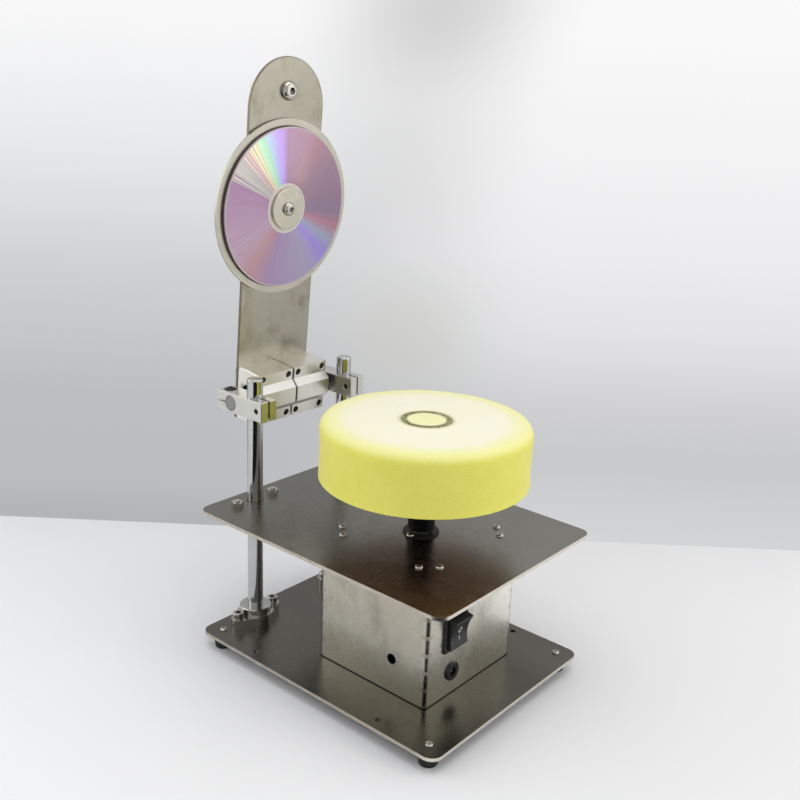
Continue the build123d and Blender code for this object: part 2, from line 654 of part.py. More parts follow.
with BuildPart() as foam_wheel:
    with BuildSketch(at_plate(0, WHEEL_Y, WHEEL_BOTTOM)):
        Circle(WHEEL_R)
    extrude(amount=WHEEL_H)
    fillet(foam_wheel.edges().group_by(Axis.Z)[-1], WHEEL_TOP_ROUND)
    fillet(foam_wheel.edges().group_by(Axis.Z)[0], WHEEL_BOTTOM_ROUND)
    with BuildSketch(at_plate(0, WHEEL_Y, WHEEL_BOTTOM)):
        Circle(BACKING_BOSS_R)
    extrude(amount=BACKING_BOSS_H, mode=Mode.SUBTRACT)
foam_wheel.part.label = "foam_wheel"
export_step(foam_wheel.part, "parts/foam_wheel.step")

# ================================================================ switch
bezel_face = box_front - BEZEL_T
opening_w = ROCKER_W + 2 * ROCKER_SIDE_GAP
opening_h = ROCKER_H + 2 * ROCKER_END_GAP
pin_hole_l = ROCKER_PIN_L + 0.1

with BuildPart() as switch_housing:
    with BuildSketch(facing_front(SWITCH_X, bezel_face, SWITCH_Z)):
        RectangleRounded(BEZEL_W, BEZEL_H, 1.5)
    extrude(amount=-BEZEL_T)
    chamfer(switch_housing.edges().group_by(Axis.Y)[0], 0.6)
    with BuildSketch(facing_front(SWITCH_X, box_front, SWITCH_Z)):
        Rectangle(SWITCH_BODY_W, SWITCH_BODY_H)
    extrude(amount=-SWITCH_BODY_D)
    with BuildSketch(facing_front(SWITCH_X, bezel_face, SWITCH_Z)):
        Rectangle(opening_w, opening_h)
    extrude(amount=-SWITCH_CAVITY, mode=Mode.SUBTRACT)
    with BuildSketch(facing_x(SWITCH_X - opening_w / 2 - pin_hole_l, bezel_face + ROCKER_AXIS, SWITCH_Z)):
        Circle(ROCKER_PIN_R + RUN_FIT)
    extrude(amount=opening_w + 2 * pin_hole_l, mode=Mode.SUBTRACT)
switch_housing.part.label = "switch_housing"
export_step(switch_housing.part, "parts/switch_housing.step")

# side profile of the rocker about its pivot: x forward, y up
with BuildPart() as rocker_blank:
    with BuildSketch(Plane.XY):
        with BuildLine():
            tip = (ROCKER_AXIS + ROCKER_LOBE, ROCKER_H / 2)
            valley = (ROCKER_AXIS + ROCKER_VALLEY, 0)
            low_tip = (tip[0], -tip[1])
            bow = 0.75 * valley[0] + 0.25 * tip[0]
            Spline(tip, (bow, tip[1] / 2), valley, (bow, -tip[1] / 2), low_tip)
            Polyline(low_tip, (0, -tip[1]), (ROCKER_AXIS - ROCKER_BACK, -tip[1] / 2),
                     (ROCKER_AXIS - ROCKER_BACK, tip[1] / 2), (0, tip[1]), tip)
        make_face()
    extrude(amount=ROCKER_W / 2, both=True)
    fillet(rocker_blank.edges().filter_by(Axis.Z).group_by(Axis.X)[-1], 0.8)
    with BuildSketch(Plane.XY):
        Circle(ROCKER_PIN_R)
    extrude(amount=ROCKER_W / 2 + ROCKER_SIDE_GAP + ROCKER_PIN_L, both=True)

rocker_pivot = Plane(origin=(SWITCH_X, PLATE_Y + bezel_face + ROCKER_AXIS, SWITCH_Z),
                     x_dir=(0, -cos(radians(ROCKER_TILT)), -sin(radians(ROCKER_TILT))),
                     z_dir=(-1, 0, 0))

with BuildPart() as switch_rocker:
    add(rocker_pivot * rocker_blank.part)
switch_rocker.part.label = "switch_rocker"
export_step(switch_rocker.part, "parts/switch_rocker.step")

with BuildPart() as switch_tags:
    for up in (-1, 0, 1):
        with Locations(at_plate(SWITCH_X, box_front + SWITCH_BODY_D, SWITCH_Z + up * SWITCH_TAG_Z).location):
            Box(SWITCH_TAG[0], SWITCH_TAG[2], SWITCH_TAG[1], align=(Align.CENTER, Align.MIN, Align.CENTER))
switch_tags.part.label = "switch_tags"
export_step(switch_tags.part, "parts/switch_tags.step")

# ================================================================ power inlet
with BuildPart() as inlet_body:
    with BuildSketch(facing_front(JACK_X, box_front, JACK_Z)):
        Circle(JACK_FLANGE_R)
    extrude(amount=JACK_FLANGE_T)
    chamfer(inlet_body.edges().group_by(Axis.Y)[0], 0.5)
    with BuildSketch(facing_front(JACK_X, box_front, JACK_Z)):
        Circle(JACK_BODY_R)
    extrude(amount=-JACK_BODY_L)
    with BuildSketch(facing_front(JACK_X, box_front - JACK_FLANGE_T, JACK_Z)):
        Circle(JACK_BORE_R)
    extrude(amount=-JACK_BORE_L, mode=Mode.SUBTRACT)
inlet_body.part.label = "inlet_body"
export_step(inlet_body.part, "parts/inlet_body.step")

with BuildPart() as inlet_pin:
    with BuildSketch(facing_front(JACK_X, box_front - JACK_FLANGE_T + JACK_BORE_L, JACK_Z)):
        Circle(JACK_PIN_R)
    extrude(amount=JACK_BORE_L - 1)
    fillet(inlet_pin.edges().group_by(Axis.Y)[0], 0.6)
inlet_pin.part.label = "inlet_pin"
export_step(inlet_pin.part, "parts/inlet_pin.step")

panel_nut = Rot(180, 0, 0) * hex_nut(JACK_BODY_R, JACK_NUT_AF, JACK_NUT_T)

with BuildPart() as inlet_nut:
    add(facing_front(JACK_X, box_front + BOX_T, JACK_Z) * panel_nut)
inlet_nut.part.label = "inlet_nut"
export_step(inlet_nut.part, "parts/inlet_nut.step")

# ================================================================ hinge clamps and shaft
clamp_front = -CLAMP_END
clamp_back = CLAMP_PITCH + CLAMP_END
clamp_half = CLAMP_BAR / 2
side_screw_y = clamp_front + CLAMP_SIDE_SCREW
top_screw_y = clamp_back - CLAMP_TOP_SCREW

# the clamp about the crossing of its column bore and the shaft's height
with BuildPart() as clamp_blank:
    with Locations((0, (clamp_front + clamp_back) / 2, 0)):
        Box(CLAMP_BAR, CLAMP_L, CLAMP_BAR)
    chamfer(clamp_blank.edges(), 0.4)
    with BuildSketch(Plane.XY.offset(-clamp_half)):
        Circle(COLUMN_R + SLIP_FIT)
        with Locations((0, clamp_front / 2)):
            Rectangle(CLAMP_SLIT, CLAMP_END + 0.1)
        with Locations((0, top_screw_y)):
            Circle(M5_R)
    extrude(amount=CLAMP_BAR, mode=Mode.SUBTRACT)
    with BuildSketch(Plane.YZ.offset(-clamp_half)):
        with Locations((CLAMP_PITCH, 0)):
            Circle(SHAFT_R + SLIP_FIT)
        with Locations(((CLAMP_PITCH + clamp_back) / 2, 0)):
            Rectangle(CLAMP_END + 0.1, CLAMP_SLIT)
        with Locations((side_screw_y, 0)):
            Circle(M4_R)
    extrude(amount=CLAMP_BAR, mode=Mode.SUBTRACT)
    with BuildSketch(Plane.XY.offset(clamp_half - CLAMP_TOP_SINK)):
        with Locations((0, top_screw_y)):
            Circle(M5_BUTTON_R + SCREW_FIT)
    extrude(amount=CLAMP_TOP_SINK, mode=Mode.SUBTRACT)
    with BuildSketch(Plane.YZ.offset(clamp_half - M4_CAP_H - MOVE_GAP)):
        with Locations((side_screw_y, 0)):
            Circle(M4_CAP_R + SCREW_FIT)
    extrude(amount=M4_CAP_H + MOVE_GAP, mode=Mode.SUBTRACT)
    circles = clamp_blank.edges().filter_by(GeomType.CIRCLE)
    chamfer([e for e in circles if abs(e.arc_center.X + clamp_half) < 0.01
             and abs(e.arc_center.Y - side_screw_y) < 0.01], HOLE_EDGE)

with BuildPart() as clamp_left:
    add(at_plate(-COLUMN_X, COLUMN_Y, SHAFT_Z) * clamp_blank.part)
clamp_left.part.label = "clamp_left"
export_step(clamp_left.part, "parts/clamp_left.step")

with BuildPart() as clamp_right:
    add(at_plate(COLUMN_X, COLUMN_Y, SHAFT_Z) * clamp_blank.part)
clamp_right.part.label = "clamp_right"
export_step(clamp_right.part, "parts/clamp_right.step")

side_screw_l = CLAMP_BAR - M4_CAP_H - MOVE_GAP - CLAMP_SCREW_RECESS
side_screw = cap_screw(M4_R, M4_CAP_R, M4_CAP_H, side_screw_l, M4_SOCKET)
top_screw_l = CLAMP_BAR - CLAMP_TOP_SINK + TIP
top_screw = button_screw(M5_R, M5_BUTTON_R, M5_BUTTON_H, top_screw_l, M5_BUTTON_SOCKET)
top_screw_z = SHAFT_Z + clamp_half - CLAMP_TOP_SINK

with BuildPart() as clamp_screws_column:
    for side in (-1, 1):
        seat_x = side * COLUMN_X + clamp_half - M4_CAP_H - MOVE_GAP
        add(facing_x(seat_x, COLUMN_Y + side_screw_y, SHAFT_Z) * side_screw)
clamp_screws_column.part.label = "clamp_screws_column"
export_step(clamp_screws_column.part, "parts/clamp_screws_column.step")

with BuildPart() as clamp_screws_shaft:
    for side in (-1, 1):
        add(at_plate(side * COLUMN_X, COLUMN_Y + top_screw_y, top_screw_z) * top_screw)
clamp_screws_shaft.part.label = "clamp_screws_shaft"
export_step(clamp_screws_shaft.part, "parts/clamp_screws_shaft.step")

with BuildPart() as hinge_shaft:
    with BuildSketch(facing_x(-SHAFT_L / 2, SHAFT_Y, SHAFT_Z)):
        Circle(SHAFT_R)
    extrude(amount=SHAFT_L)
    chamfer(hinge_shaft.edges().group_by(Axis.X)[0], 0.6)
    chamfer(hinge_shaft.edges().group_by(Axis.X)[-1], 0.6)
hinge_shaft.part.label = "hinge_shaft"
export_step(hinge_shaft.part, "parts/hinge_shaft.step")

# ================================================================ linear bushes and blocks
bush = ring(BUSH_R, SHAFT_R + RUN_FIT, BUSH_L)
block_starts = (-BLOCK_SPLIT / 2 - BLOCK_L, BLOCK_SPLIT / 2)

with BuildPart() as bushes:
    for start in block_starts:
        add(facing_x(start + BUSH_IN, SHAFT_Y, SHAFT_Z) * bush)
bushes.part.label = "bushes"
export_step(bushes.part, "parts/bushes.step")

# block profile in the arm's own plane: x along the arm, y ahead of the mounting face
half_w = BLOCK_W / 2
front_w = half_w - BLOCK_TAPER
hump_w = BLOCK_HUMP_W / 2
hump_top = BLOCK_HUMP_TOP / 2
right_side = [(half_w, 0), (half_w, BLOCK_TAPER_AT), (front_w, BLOCK_SHOULDER),
              (hump_w, BLOCK_SHOULDER), (hump_top, BLOCK_DEPTH)]
left_side = [(-x, y) for x, y in reversed(right_side)]

with BuildPart() as block_blank:
    with BuildSketch(Plane.XY):
        Polygon(*right_side, *left_side, align=None)
        with Locations((0, BLOCK_AXIS)):
            Circle(BUSH_R + RUN_FIT, mode=Mode.SUBTRACT)
    extrude(amount=BLOCK_L)
    end_edges = block_blank.edges().group_by(Axis.Z)[0] + block_blank.edges().group_by(Axis.Z)[-1]
    chamfer([e for e in end_edges if e.geom_type == GeomType.LINE], BLOCK_EDGE)
    hole_z = [BLOCK_L / 2 - BLOCK_HOLE_U, BLOCK_L / 2 + BLOCK_HOLE_U]
    with BuildSketch(Plane.XZ):
        with Locations(*[(s * BLOCK_HOLE_V, z) for s in (-1, 1) for z in hole_z]):
            Circle(M5_R)
    extrude(amount=-BLOCK_SHOULDER, mode=Mode.SUBTRACT)
    circles = block_blank.edges().filter_by(GeomType.CIRCLE)
    chamfer([e for e in circles if abs(e.arc_center.Y - BLOCK_SHOULDER) < 0.01], HOLE_EDGE)


def block_plane(u):
    """Block profile plane at u on the shaft: x up the arm, y forward, z to the right."""
    seat = on_arm(u, 0, ARM_FRONT)
    return Plane(origin=seat.origin, x_dir=(0, -sin(LEAN), cos(LEAN)), z_dir=(1, 0, 0))


with BuildPart() as block_left:
    add(block_plane(block_starts[0]) * block_blank.part)
block_left.part.label = "block_left"
export_step(block_left.part, "parts/block_left.step")

with BuildPart() as block_right:
    add(block_plane(block_starts[1]) * block_blank.part)
block_right.part.label = "block_right"
export_step(block_right.part, "parts/block_right.step")

keeper = ring(BUSH_R + RUN_FIT, RING_INNER_R, RING_T)
keeper_gap = BUSH_IN - MOVE_GAP - RING_T

with BuildPart() as keeper_rings:
    for start in block_starts:
        add(facing_x(start + keeper_gap, SHAFT_Y, SHAFT_Z) * keeper)
        add(facing_x(start + BLOCK_L - keeper_gap - RING_T, SHAFT_Y, SHAFT_Z) * keeper)
keeper_rings.part.label = "keeper_rings"
export_step(keeper_rings.part, "parts/keeper_rings.step")

block_points = [(start + BLOCK_L / 2 + du, dv) for start in block_starts
                for du in (-BLOCK_HOLE_U, BLOCK_HOLE_U) for dv in (-BLOCK_HOLE_V, BLOCK_HOLE_V)]
block_screw = button_screw(M5_R, M5_BUTTON_R, M5_BUTTON_H, ARM_T + BLOCK_SCREW_IN, M5_BUTTON_SOCKET)

with BuildPart() as block_screws:
    add([on_arm(u, v, ARM_BACK, -1) * block_screw for u, v in block_points])
block_screws.part.label = "block_screws"
export_step(block_screws.part, "parts/block_screws.step")

# ================================================================ arm plate and knob
arm_round = ARM_W / 2
straight_top = ARM_TOP - arm_round
housing_points = [(HOUSING_SCREW_AT * cos(a), TRAY_V + HOUSING_SCREW_AT * sin(a))
                  for a in (pi / 2, pi * 7 / 6, pi * 11 / 6)]

with BuildPart() as arm_plate:
    with BuildSketch(on_arm(0, 0, ARM_BACK)):
        with Locations((0, (ARM_BOTTOM + straight_top) / 2)):
            Rectangle(ARM_W, straight_top - ARM_BOTTOM)
        with Locations((0, straight_top)):
            Circle(arm_round)
        with Locations(*block_points):
            Circle(M5_R + SCREW_FIT, mode=Mode.SUBTRACT)
        with Locations((0, TRAY_V)):
            Circle(TRAY_BUSH_R, mode=Mode.SUBTRACT)
        with Locations((0, KNOB_V)):
            Circle(M8_R + SCREW_FIT, mode=Mode.SUBTRACT)
        with Locations(*housing_points):
            Circle(HOUSING_SCREW_HEAD, mode=Mode.SUBTRACT)
    extrude(amount=ARM_T)
arm_plate.part.label = "arm_plate"
export_step(arm_plate.part, "parts/arm_plate.step")

knob_blank = rod(KNOB_R, KNOB_L)
knob_blank = fillet(knob_blank.edges().group_by(Axis.Z)[-1], KNOB_ROUND)
knob_body = knob_blank - rod(M8_R, KNOB_THREAD)
knob_bolt = button_screw(M8_R, M8_BUTTON_R, M8_BUTTON_H, ARM_T + KNOB_THREAD - 1, M8_SOCKET)

with BuildPart() as knob:
    add(on_arm(0, KNOB_V, ARM_BACK, -1) * knob_body)
knob.part.label = "knob"
export_step(knob.part, "parts/knob.step")

with BuildPart() as knob_screw:
    add(on_arm(0, KNOB_V, ARM_FRONT) * knob_bolt)
knob_screw.part.label = "knob_screw"
export_step(knob_screw.part, "parts/knob_screw.step")

# ================================================================ tray bearing on the arm
housing_body = ring(HOUSING_R, TRAY_BUSH_R, HOUSING_T)
housing_body = fillet(housing_body.edges().group_by(Axis.Z)[-1].sort_by(SortBy.LENGTH)[-1], 0.8)

with BuildPart() as tray_housing:
    add(on_arm(0, TRAY_V, ARM_BACK, -1) * housing_body)
    with BuildSketch(on_arm(0, 0, ARM_BACK)):
        with Locations(*housing_points):
            Circle(M3_R)
    extrude(amount=-(HOUSING_SCREW_L - ARM_T + 0.5), mode=Mode.SUBTRACT)
tray_housing.part.label = "tray_housing"
export_step(tray_housing.part, "parts/tray_housing.step")

plain_bush = ring(TRAY_BUSH_R, SLEEVE_R + RUN_FIT, ARM_T + HOUSING_T)

with BuildPart() as tray_bush:
    add(on_arm(0, TRAY_V, ARM_FRONT, -1) * plain_bush)
tray_bush.part.label = "tray_bush"
export_step(tray_bush.part, "parts/tray_bush.step")

flat_head = rod(HOUSING_SCREW_HEAD, ARM_T) - Pos(0, 0, ARM_T - 1) * hexagon(M3_SOCKET, 1)
flat_screw = flat_head + Pos(0, 0, ARM_T - HOUSING_SCREW_L) * rod(M3_R, HOUSING_SCREW_L - ARM_T)

with BuildPart() as housing_screws:
    add([on_arm(u, v, ARM_BACK) * flat_screw for u, v in housing_points])
housing_screws.part.label = "housing_screws"
export_step(housing_screws.part, "parts/housing_screws.step")

# ================================================================ turning tray and disc
tray_back = ARM_FRONT + TRAY_GAP
tray_front = tray_back + TRAY_T
pad_front = tray_front + PAD_T
disc_front = pad_front + DISC_T
clamp_disc_front = disc_front + CLAMP_DISC_T
sleeve_back = ARM_BACK - HOUSING_T - MOVE_GAP
sleeve_l = tray_back - sleeve_back
boss_r = DISC_HOLE_R - 0.1
boss_l = PAD_T + DISC_T

with BuildPart() as tray:
    with BuildSketch(on_arm(0, TRAY_V, tray_back)):
        Circle(TRAY_R)
        Circle(M6_R, mode=Mode.SUBTRACT)
    extrude(amount=TRAY_T)
tray.part.label = "tray"
export_step(tray.part, "parts/tray.step")

with BuildPart() as pad:
    with BuildSketch(on_arm(0, TRAY_V, tray_front)):
        Circle(PAD_R)
        Circle(DISC_HOLE_R, mode=Mode.SUBTRACT)
    extrude(amount=PAD_T)
pad.part.label = "pad"
export_step(pad.part, "parts/pad.step")

with BuildPart() as disc:
    with BuildSketch(on_arm(0, TRAY_V, pad_front)):
        Circle(DISC_R)
        Circle(DISC_HOLE_R, mode=Mode.SUBTRACT)
    extrude(amount=DISC_T)
disc.part.label = "disc"
export_step(disc.part, "parts/disc.step")

clamp_disc_body = rod(CLAMP_DISC_R, CLAMP_DISC_T)
clamp_disc_body = fillet(clamp_disc_body.edges().group_by(Axis.Z)[-1], 0.6)
clamp_disc_body = clamp_disc_body + Pos(0, 0, -boss_l) * rod(boss_r, boss_l)
clamp_disc_body = clamp_disc_body - Pos(0, 0, -boss_l) * rod(M6_R, boss_l + CLAMP_DISC_T)

with BuildPart() as clamp_disc:
    add(on_arm(0, TRAY_V, disc_front) * clamp_disc_body)
clamp_disc.part.label = "clamp_disc"
export_step(clamp_disc.part, "parts/clamp_disc.step")

sleeve_body = ring(SLEEVE_R, M6_R, sleeve_l)

with BuildPart() as tray_sleeve:
    add(on_arm(0, TRAY_V, tray_back, -1) * sleeve_body)
tray_sleeve.part.label = "tray_sleeve"
export_step(tray_sleeve.part, "parts/tray_sleeve.step")

washer_body = ring(WASHER_R, M6_R, WASHER_T)

with BuildPart() as tray_washer:
    add(on_arm(0, TRAY_V, sleeve_back, -1) * washer_body)
tray_washer.part.label = "tray_washer"
export_step(tray_washer.part, "parts/tray_washer.step")

nut_seat = sleeve_back - WASHER_T
bolt_l = clamp_disc_front - nut_seat + M6_NUT_H + TIP

nut_body = hex_nut(M6_R, M6_NUT_AF, M6_NUT_H)
bolt = button_screw(M6_R, M6_BUTTON_R, M6_BUTTON_H, bolt_l, M6_SOCKET)

with BuildPart() as tray_nut:
    add(on_arm(0, TRAY_V, nut_seat, -1) * nut_body)
tray_nut.part.label = "tray_nut"
export_step(tray_nut.part, "parts/tray_nut.step")

with BuildPart() as centre_screw:
    add(on_arm(0, TRAY_V, clamp_disc_front) * bolt)
centre_screw.part.label = "centre_screw"
export_step(centre_screw.part, "parts/centre_screw.step")
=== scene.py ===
import json
from math import asin, cos, pi, radians, sin

import bpy
from mathutils import Matrix, Vector, noise


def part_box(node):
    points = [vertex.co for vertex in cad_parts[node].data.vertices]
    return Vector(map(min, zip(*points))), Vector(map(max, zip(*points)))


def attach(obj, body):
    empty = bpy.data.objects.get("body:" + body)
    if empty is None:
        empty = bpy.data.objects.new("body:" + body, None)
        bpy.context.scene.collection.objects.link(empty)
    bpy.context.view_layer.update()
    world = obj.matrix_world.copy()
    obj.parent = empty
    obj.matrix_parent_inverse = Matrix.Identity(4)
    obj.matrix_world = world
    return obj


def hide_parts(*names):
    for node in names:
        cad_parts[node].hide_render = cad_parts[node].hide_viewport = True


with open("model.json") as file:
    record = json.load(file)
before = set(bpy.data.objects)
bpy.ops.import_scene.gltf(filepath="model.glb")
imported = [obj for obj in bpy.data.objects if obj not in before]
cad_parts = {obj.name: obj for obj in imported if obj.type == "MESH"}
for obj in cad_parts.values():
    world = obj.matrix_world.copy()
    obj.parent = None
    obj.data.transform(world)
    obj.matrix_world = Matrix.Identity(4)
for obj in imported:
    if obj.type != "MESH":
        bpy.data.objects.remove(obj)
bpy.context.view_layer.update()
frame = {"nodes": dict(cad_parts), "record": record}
for loaded in bpy.context.selected_objects:
    loaded.select_set(False)    # so that the operators below act on new pieces alone

# Metres, X to the right, -Y to the front, Z up.
SCENE = bpy.context.scene
LEAN = radians(4.3)             # arm against the vertical
ARM_TURN = (pi / 2 + LEAN, 0, 0)  # turns Z to the arm's own forward direction and Y up the arm
ARM_ROUND = 0.0721              # centre of the arm's round top above the tray's
ARM_EDGE = (0.0356, 0.0364)     # from the arm's middle line to where its cut edge begins and ends
PLATE_CORNER = 0.009            # radius of the plates' corners
SLOT_START = 0.0026             # first slot of the box's bends above the base plate
SLOT_PITCH, SLOT_LENGTH = 0.0137, 0.0106
TRACKS = (0.0188, 0.0590)       # radii of the disc's recorded part
FOAM_RING = (0.0141, 0.0185)    # radii of the dark ring on the foam
FOAM_HALO = (0.0135, 0.0205)    # radii of the soft shade about that ring


def middle(node):
    """Centre of a CAD node's box."""
    low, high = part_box(node)
    return (Vector(low) + Vector(high)) / 2


PLATE = middle("upper_plate")
PLATE_HIGH = Vector(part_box("upper_plate")[1])
BASE_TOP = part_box("base_plate")[1][2]
WHEEL = middle("foam_wheel")
TRAY = middle("tray")
BOX_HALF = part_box("motor_box")[1][0]


# ---------------------------------------------------------------- camera
CAMERA_PLACE = (-0.5255, -0.45587, 0.4271)
CAMERA_ANGLES = (-50.25, 17.56, 2.49)   # degrees: azimuth, elevation, roll
CAMERA_LENS, CAMERA_SENSOR = 44.9, 36.0  # millimetres


def look():
    """Camera at the photograph's place, turned a little about its own line of sight."""
    azimuth, elevation, roll = (radians(angle) for angle in CAMERA_ANGLES)
    back = Vector((sin(azimuth) * cos(elevation),
                   -cos(azimuth) * cos(elevation),
                   sin(elevation)))
    right = (-back).cross(Vector((0, 0, 1))).normalized()
    up = right.cross(-back)
    across = right * cos(roll) + up * sin(roll)
    along = up * cos(roll) - right * sin(roll)
    data = bpy.data.cameras.new("camera")
    data.lens = CAMERA_LENS
    data.sensor_width = CAMERA_SENSOR
    data.clip_start = 0.01
    camera = bpy.data.objects.new("camera", data)
    SCENE.collection.objects.link(camera)
    turn = Matrix((across, along, back)).transposed().to_4x4()
    camera.matrix_world = Matrix.Translation(CAMERA_PLACE) @ turn
    SCENE.camera = camera


look()


# ---------------------------------------------------------------- finishes
def tone(code):
    """Linear colour of a hexadecimal screen colour."""
    parts = [int(code[i:i + 2], 16) / 255 for i in (1, 3, 5)]
    return tuple(p / 12.92 if p <= 0.04045 else ((p + 0.055) / 1.055) ** 2.4 for p in parts)


class Number:
    """A number inside a finish, for ordinary sums."""

    def __init__(self, finish, socket):
        self.finish = finish
        self.socket = socket

    def __add__(self, other):
        return self.finish.maths("ADD", self, other)

    __radd__ = __add__

    def __sub__(self, other):
        return self.finish.maths("SUBTRACT", self, other)

    def __rsub__(self, other):
        return self.finish.maths("SUBTRACT", other, self)

    def __mul__(self, other):
        return self.finish.maths("MULTIPLY", self, other)

    __rmul__ = __mul__

    def __truediv__(self, other):
        return self.finish.maths("DIVIDE", self, other)

    def __rtruediv__(self, other):
        return self.finish.maths("DIVIDE", other, self)

    def __abs__(self):
        return self.finish.maths("ABSOLUTE", self)


class Finish:
    """A material made of nodes."""

    def __init__(self, name, metallic=0.0, coat=0.0):
        self.name = name
        self.material = bpy.data.materials.new(name)
        self.material.use_nodes = True
        self.tree = self.material.node_tree
        self.shader = self.tree.nodes["Principled BSDF"]
        self.shader.inputs["Metallic"].default_value = metallic
        self.shader.inputs["Coat Weight"].default_value = coat
        self.shader.inputs["Coat Roughness"].default_value = 0.05
        self.place = self.node("ShaderNodeTexCoord").outputs["Object"]

    def feed(self, socket, value):
        """Links or sets one input."""
        if isinstance(value, Number):
            value = value.socket
        if isinstance(value, bpy.types.NodeSocket):
            self.tree.links.new(value, socket)
        elif hasattr(value, "__len__") and socket.type == "RGBA":
            socket.default_value = (*value[:3], 1.0)
        else:
            socket.default_value = value

    def node(self, kind, settings=None, inputs=None):
        """A node with its settings made before its inputs are fed."""
        made = self.tree.nodes.new(kind)
        for key, value in (settings or {}).items():
            setattr(made, key, value)
        for key, value in (inputs or {}).items():
            self.feed(made.inputs[key], value)
        return made

    def maths(self, operation, *terms):
        """One Math node on numbers, plain or linked."""
        made = self.node("ShaderNodeMath", {"operation": operation}, dict(enumerate(terms)))
        return Number(self, made.outputs[0])

    def length(self, first, second):
        """Length of the line with these two parts at right angles."""
        return self.maths("SQRT", first * first + second * second)

    def vector(self, operation, first, second):
        """One Vector Math node on two vectors."""
        made = self.node("ShaderNodeVectorMath", {"operation": operation}, {0: first, 1: second})
        return made.outputs[0]

    def about(self, centre, turn=(0, 0, 0)):
        """Object coordinates from a centre, in a turned frame."""
        made = self.node("ShaderNodeMapping", {"vector_type": "TEXTURE"},
                         {"Vector": self.place, "Location": centre, "Rotation": turn})
        return made.outputs[0]

    def split(self, place):
        """X, Y and Z of a place."""
        made = self.node("ShaderNodeSeparateXYZ", None, {0: place})
        return [Number(self, out) for out in made.outputs]

    def noise(self, place, scale, detail, roughness=0.5):
        """Noise with its own scale along each axis, in cells a metre."""
        stretched = self.vector("MULTIPLY", place, scale)
        made = self.node("ShaderNodeTexNoise", None,
                         {"Vector": stretched, "Scale": 1.0, "Detail": detail,
                          "Roughness": roughness})
        return Number(self, made.outputs["Fac"])

    def line_noise(self, value, detail):
        """Noise along one number."""
        made = self.node("ShaderNodeTexNoise", {"noise_dimensions": "1D"},
                         {"W": value, "Scale": 1.0, "Detail": detail})
        return Number(self, made.outputs["Fac"])

    def cells(self, place, scale):
        """Distance to the nearest of many scattered points, both in cells, scale cells a metre."""
        made = self.node("ShaderNodeTexVoronoi", {"feature": "F1"},
                         {"Vector": place, "Scale": scale})
        return Number(self, made.outputs["Distance"])

    def smooth(self, value, low, high):
        """0 below low, 1 above high, eased between; the other way round if low is above high."""
        start, end = (0.0, 1.0) if low < high else (1.0, 0.0)
        made = self.node("ShaderNodeMapRange", {"interpolation_type": "SMOOTHSTEP"},
                         {"Value": value, "From Min": min(low, high), "From Max": max(low, high),
                          "To Min": start, "To Max": end})
        return Number(self, made.outputs["Result"])

    def band(self, value, low, high, soft):
        """1 between low and high, 0 outside, eased over soft on either side of both."""
        rising = self.smooth(value, low - soft, low + soft)
        return rising * self.smooth(value, high + soft, high - soft)

    def mix(self, first, second, amount):
        """The first colour at amount 0, the second at 1."""
        made = self.node("ShaderNodeMix", {"data_type": "RGBA"})
        colours = [s for s in made.inputs if s.type == "RGBA"]
        self.feed(made.inputs[0], amount)
        self.feed(colours[0], first)
        self.feed(colours[1], second)
        return [s for s in made.outputs if s.type == "RGBA"][0]

    def ramp(self, value, stops):
        """Colour by a number from 0 to 1, through stops of a number and a screen colour."""
        made = self.node("ShaderNodeValToRGB", None, {"Fac": value})
        elements = made.color_ramp.elements
        elements[0].position, elements[0].color = stops[0][0], (*tone(stops[0][1]), 1)
        elements[1].position, elements[1].color = stops[-1][0], (*tone(stops[-1][1]), 1)
        for position, colour in stops[1:-1]:
            elements.new(position).color = (*tone(colour), 1)
        return made.outputs["Color"]

    def bump(self, height, depth, strength):
        """Relief of that real depth in metres."""
        made = self.node("ShaderNodeBump", None,
                         {"Strength": strength, "Distance": depth, "Height": height})
        self.feed(self.shader.inputs["Normal"], made.outputs["Normal"])

    def set(self, **values):
        """Feeds the shader's own inputs, underscores for the spaces in their names."""
        for key, value in values.items():
            name = key.replace("_", " ").title().replace("Ior", "IOR")
            self.feed(self.shader.inputs[name], value)


def sheet_steel(name, light, dark, grain, roughness, detail, stains, turn=(0, 0, 0), drawn=0.3):
    """Rolled stainless sheet: a drawn grain, clouds from handling, rubbed patches."""
    finish = Finish(name, metallic=1.0)
    place = finish.about((0, 0, 0), turn)
    streaks = finish.noise(place, grain, 5)
    threads = finish.noise(place, tuple(3.1 * g for g in grain), 3)
    clouds = finish.noise(place, (17, 19, 15), 5, 0.6)
    rubbed = finish.noise(place, (60, 45, 50), 5, 0.65)
    value = drawn * (streaks + 0.5 * threads - 0.75) + stains * (clouds + 0.5 * rubbed - 0.75)
    colour = finish.mix(tone(dark), tone(light), value + 0.5)
    colour = detail(finish, colour)
    grained = roughness + 0.27 * drawn * (streaks - 0.5)
    finish.set(base_color=colour, roughness=grained + 0.08 * finish.smooth(rubbed, 0.45, 0.75))
    finish.bump(0.6 * streaks + 0.4 * threads, 0.00006 * drawn, 0.6)
    return finish


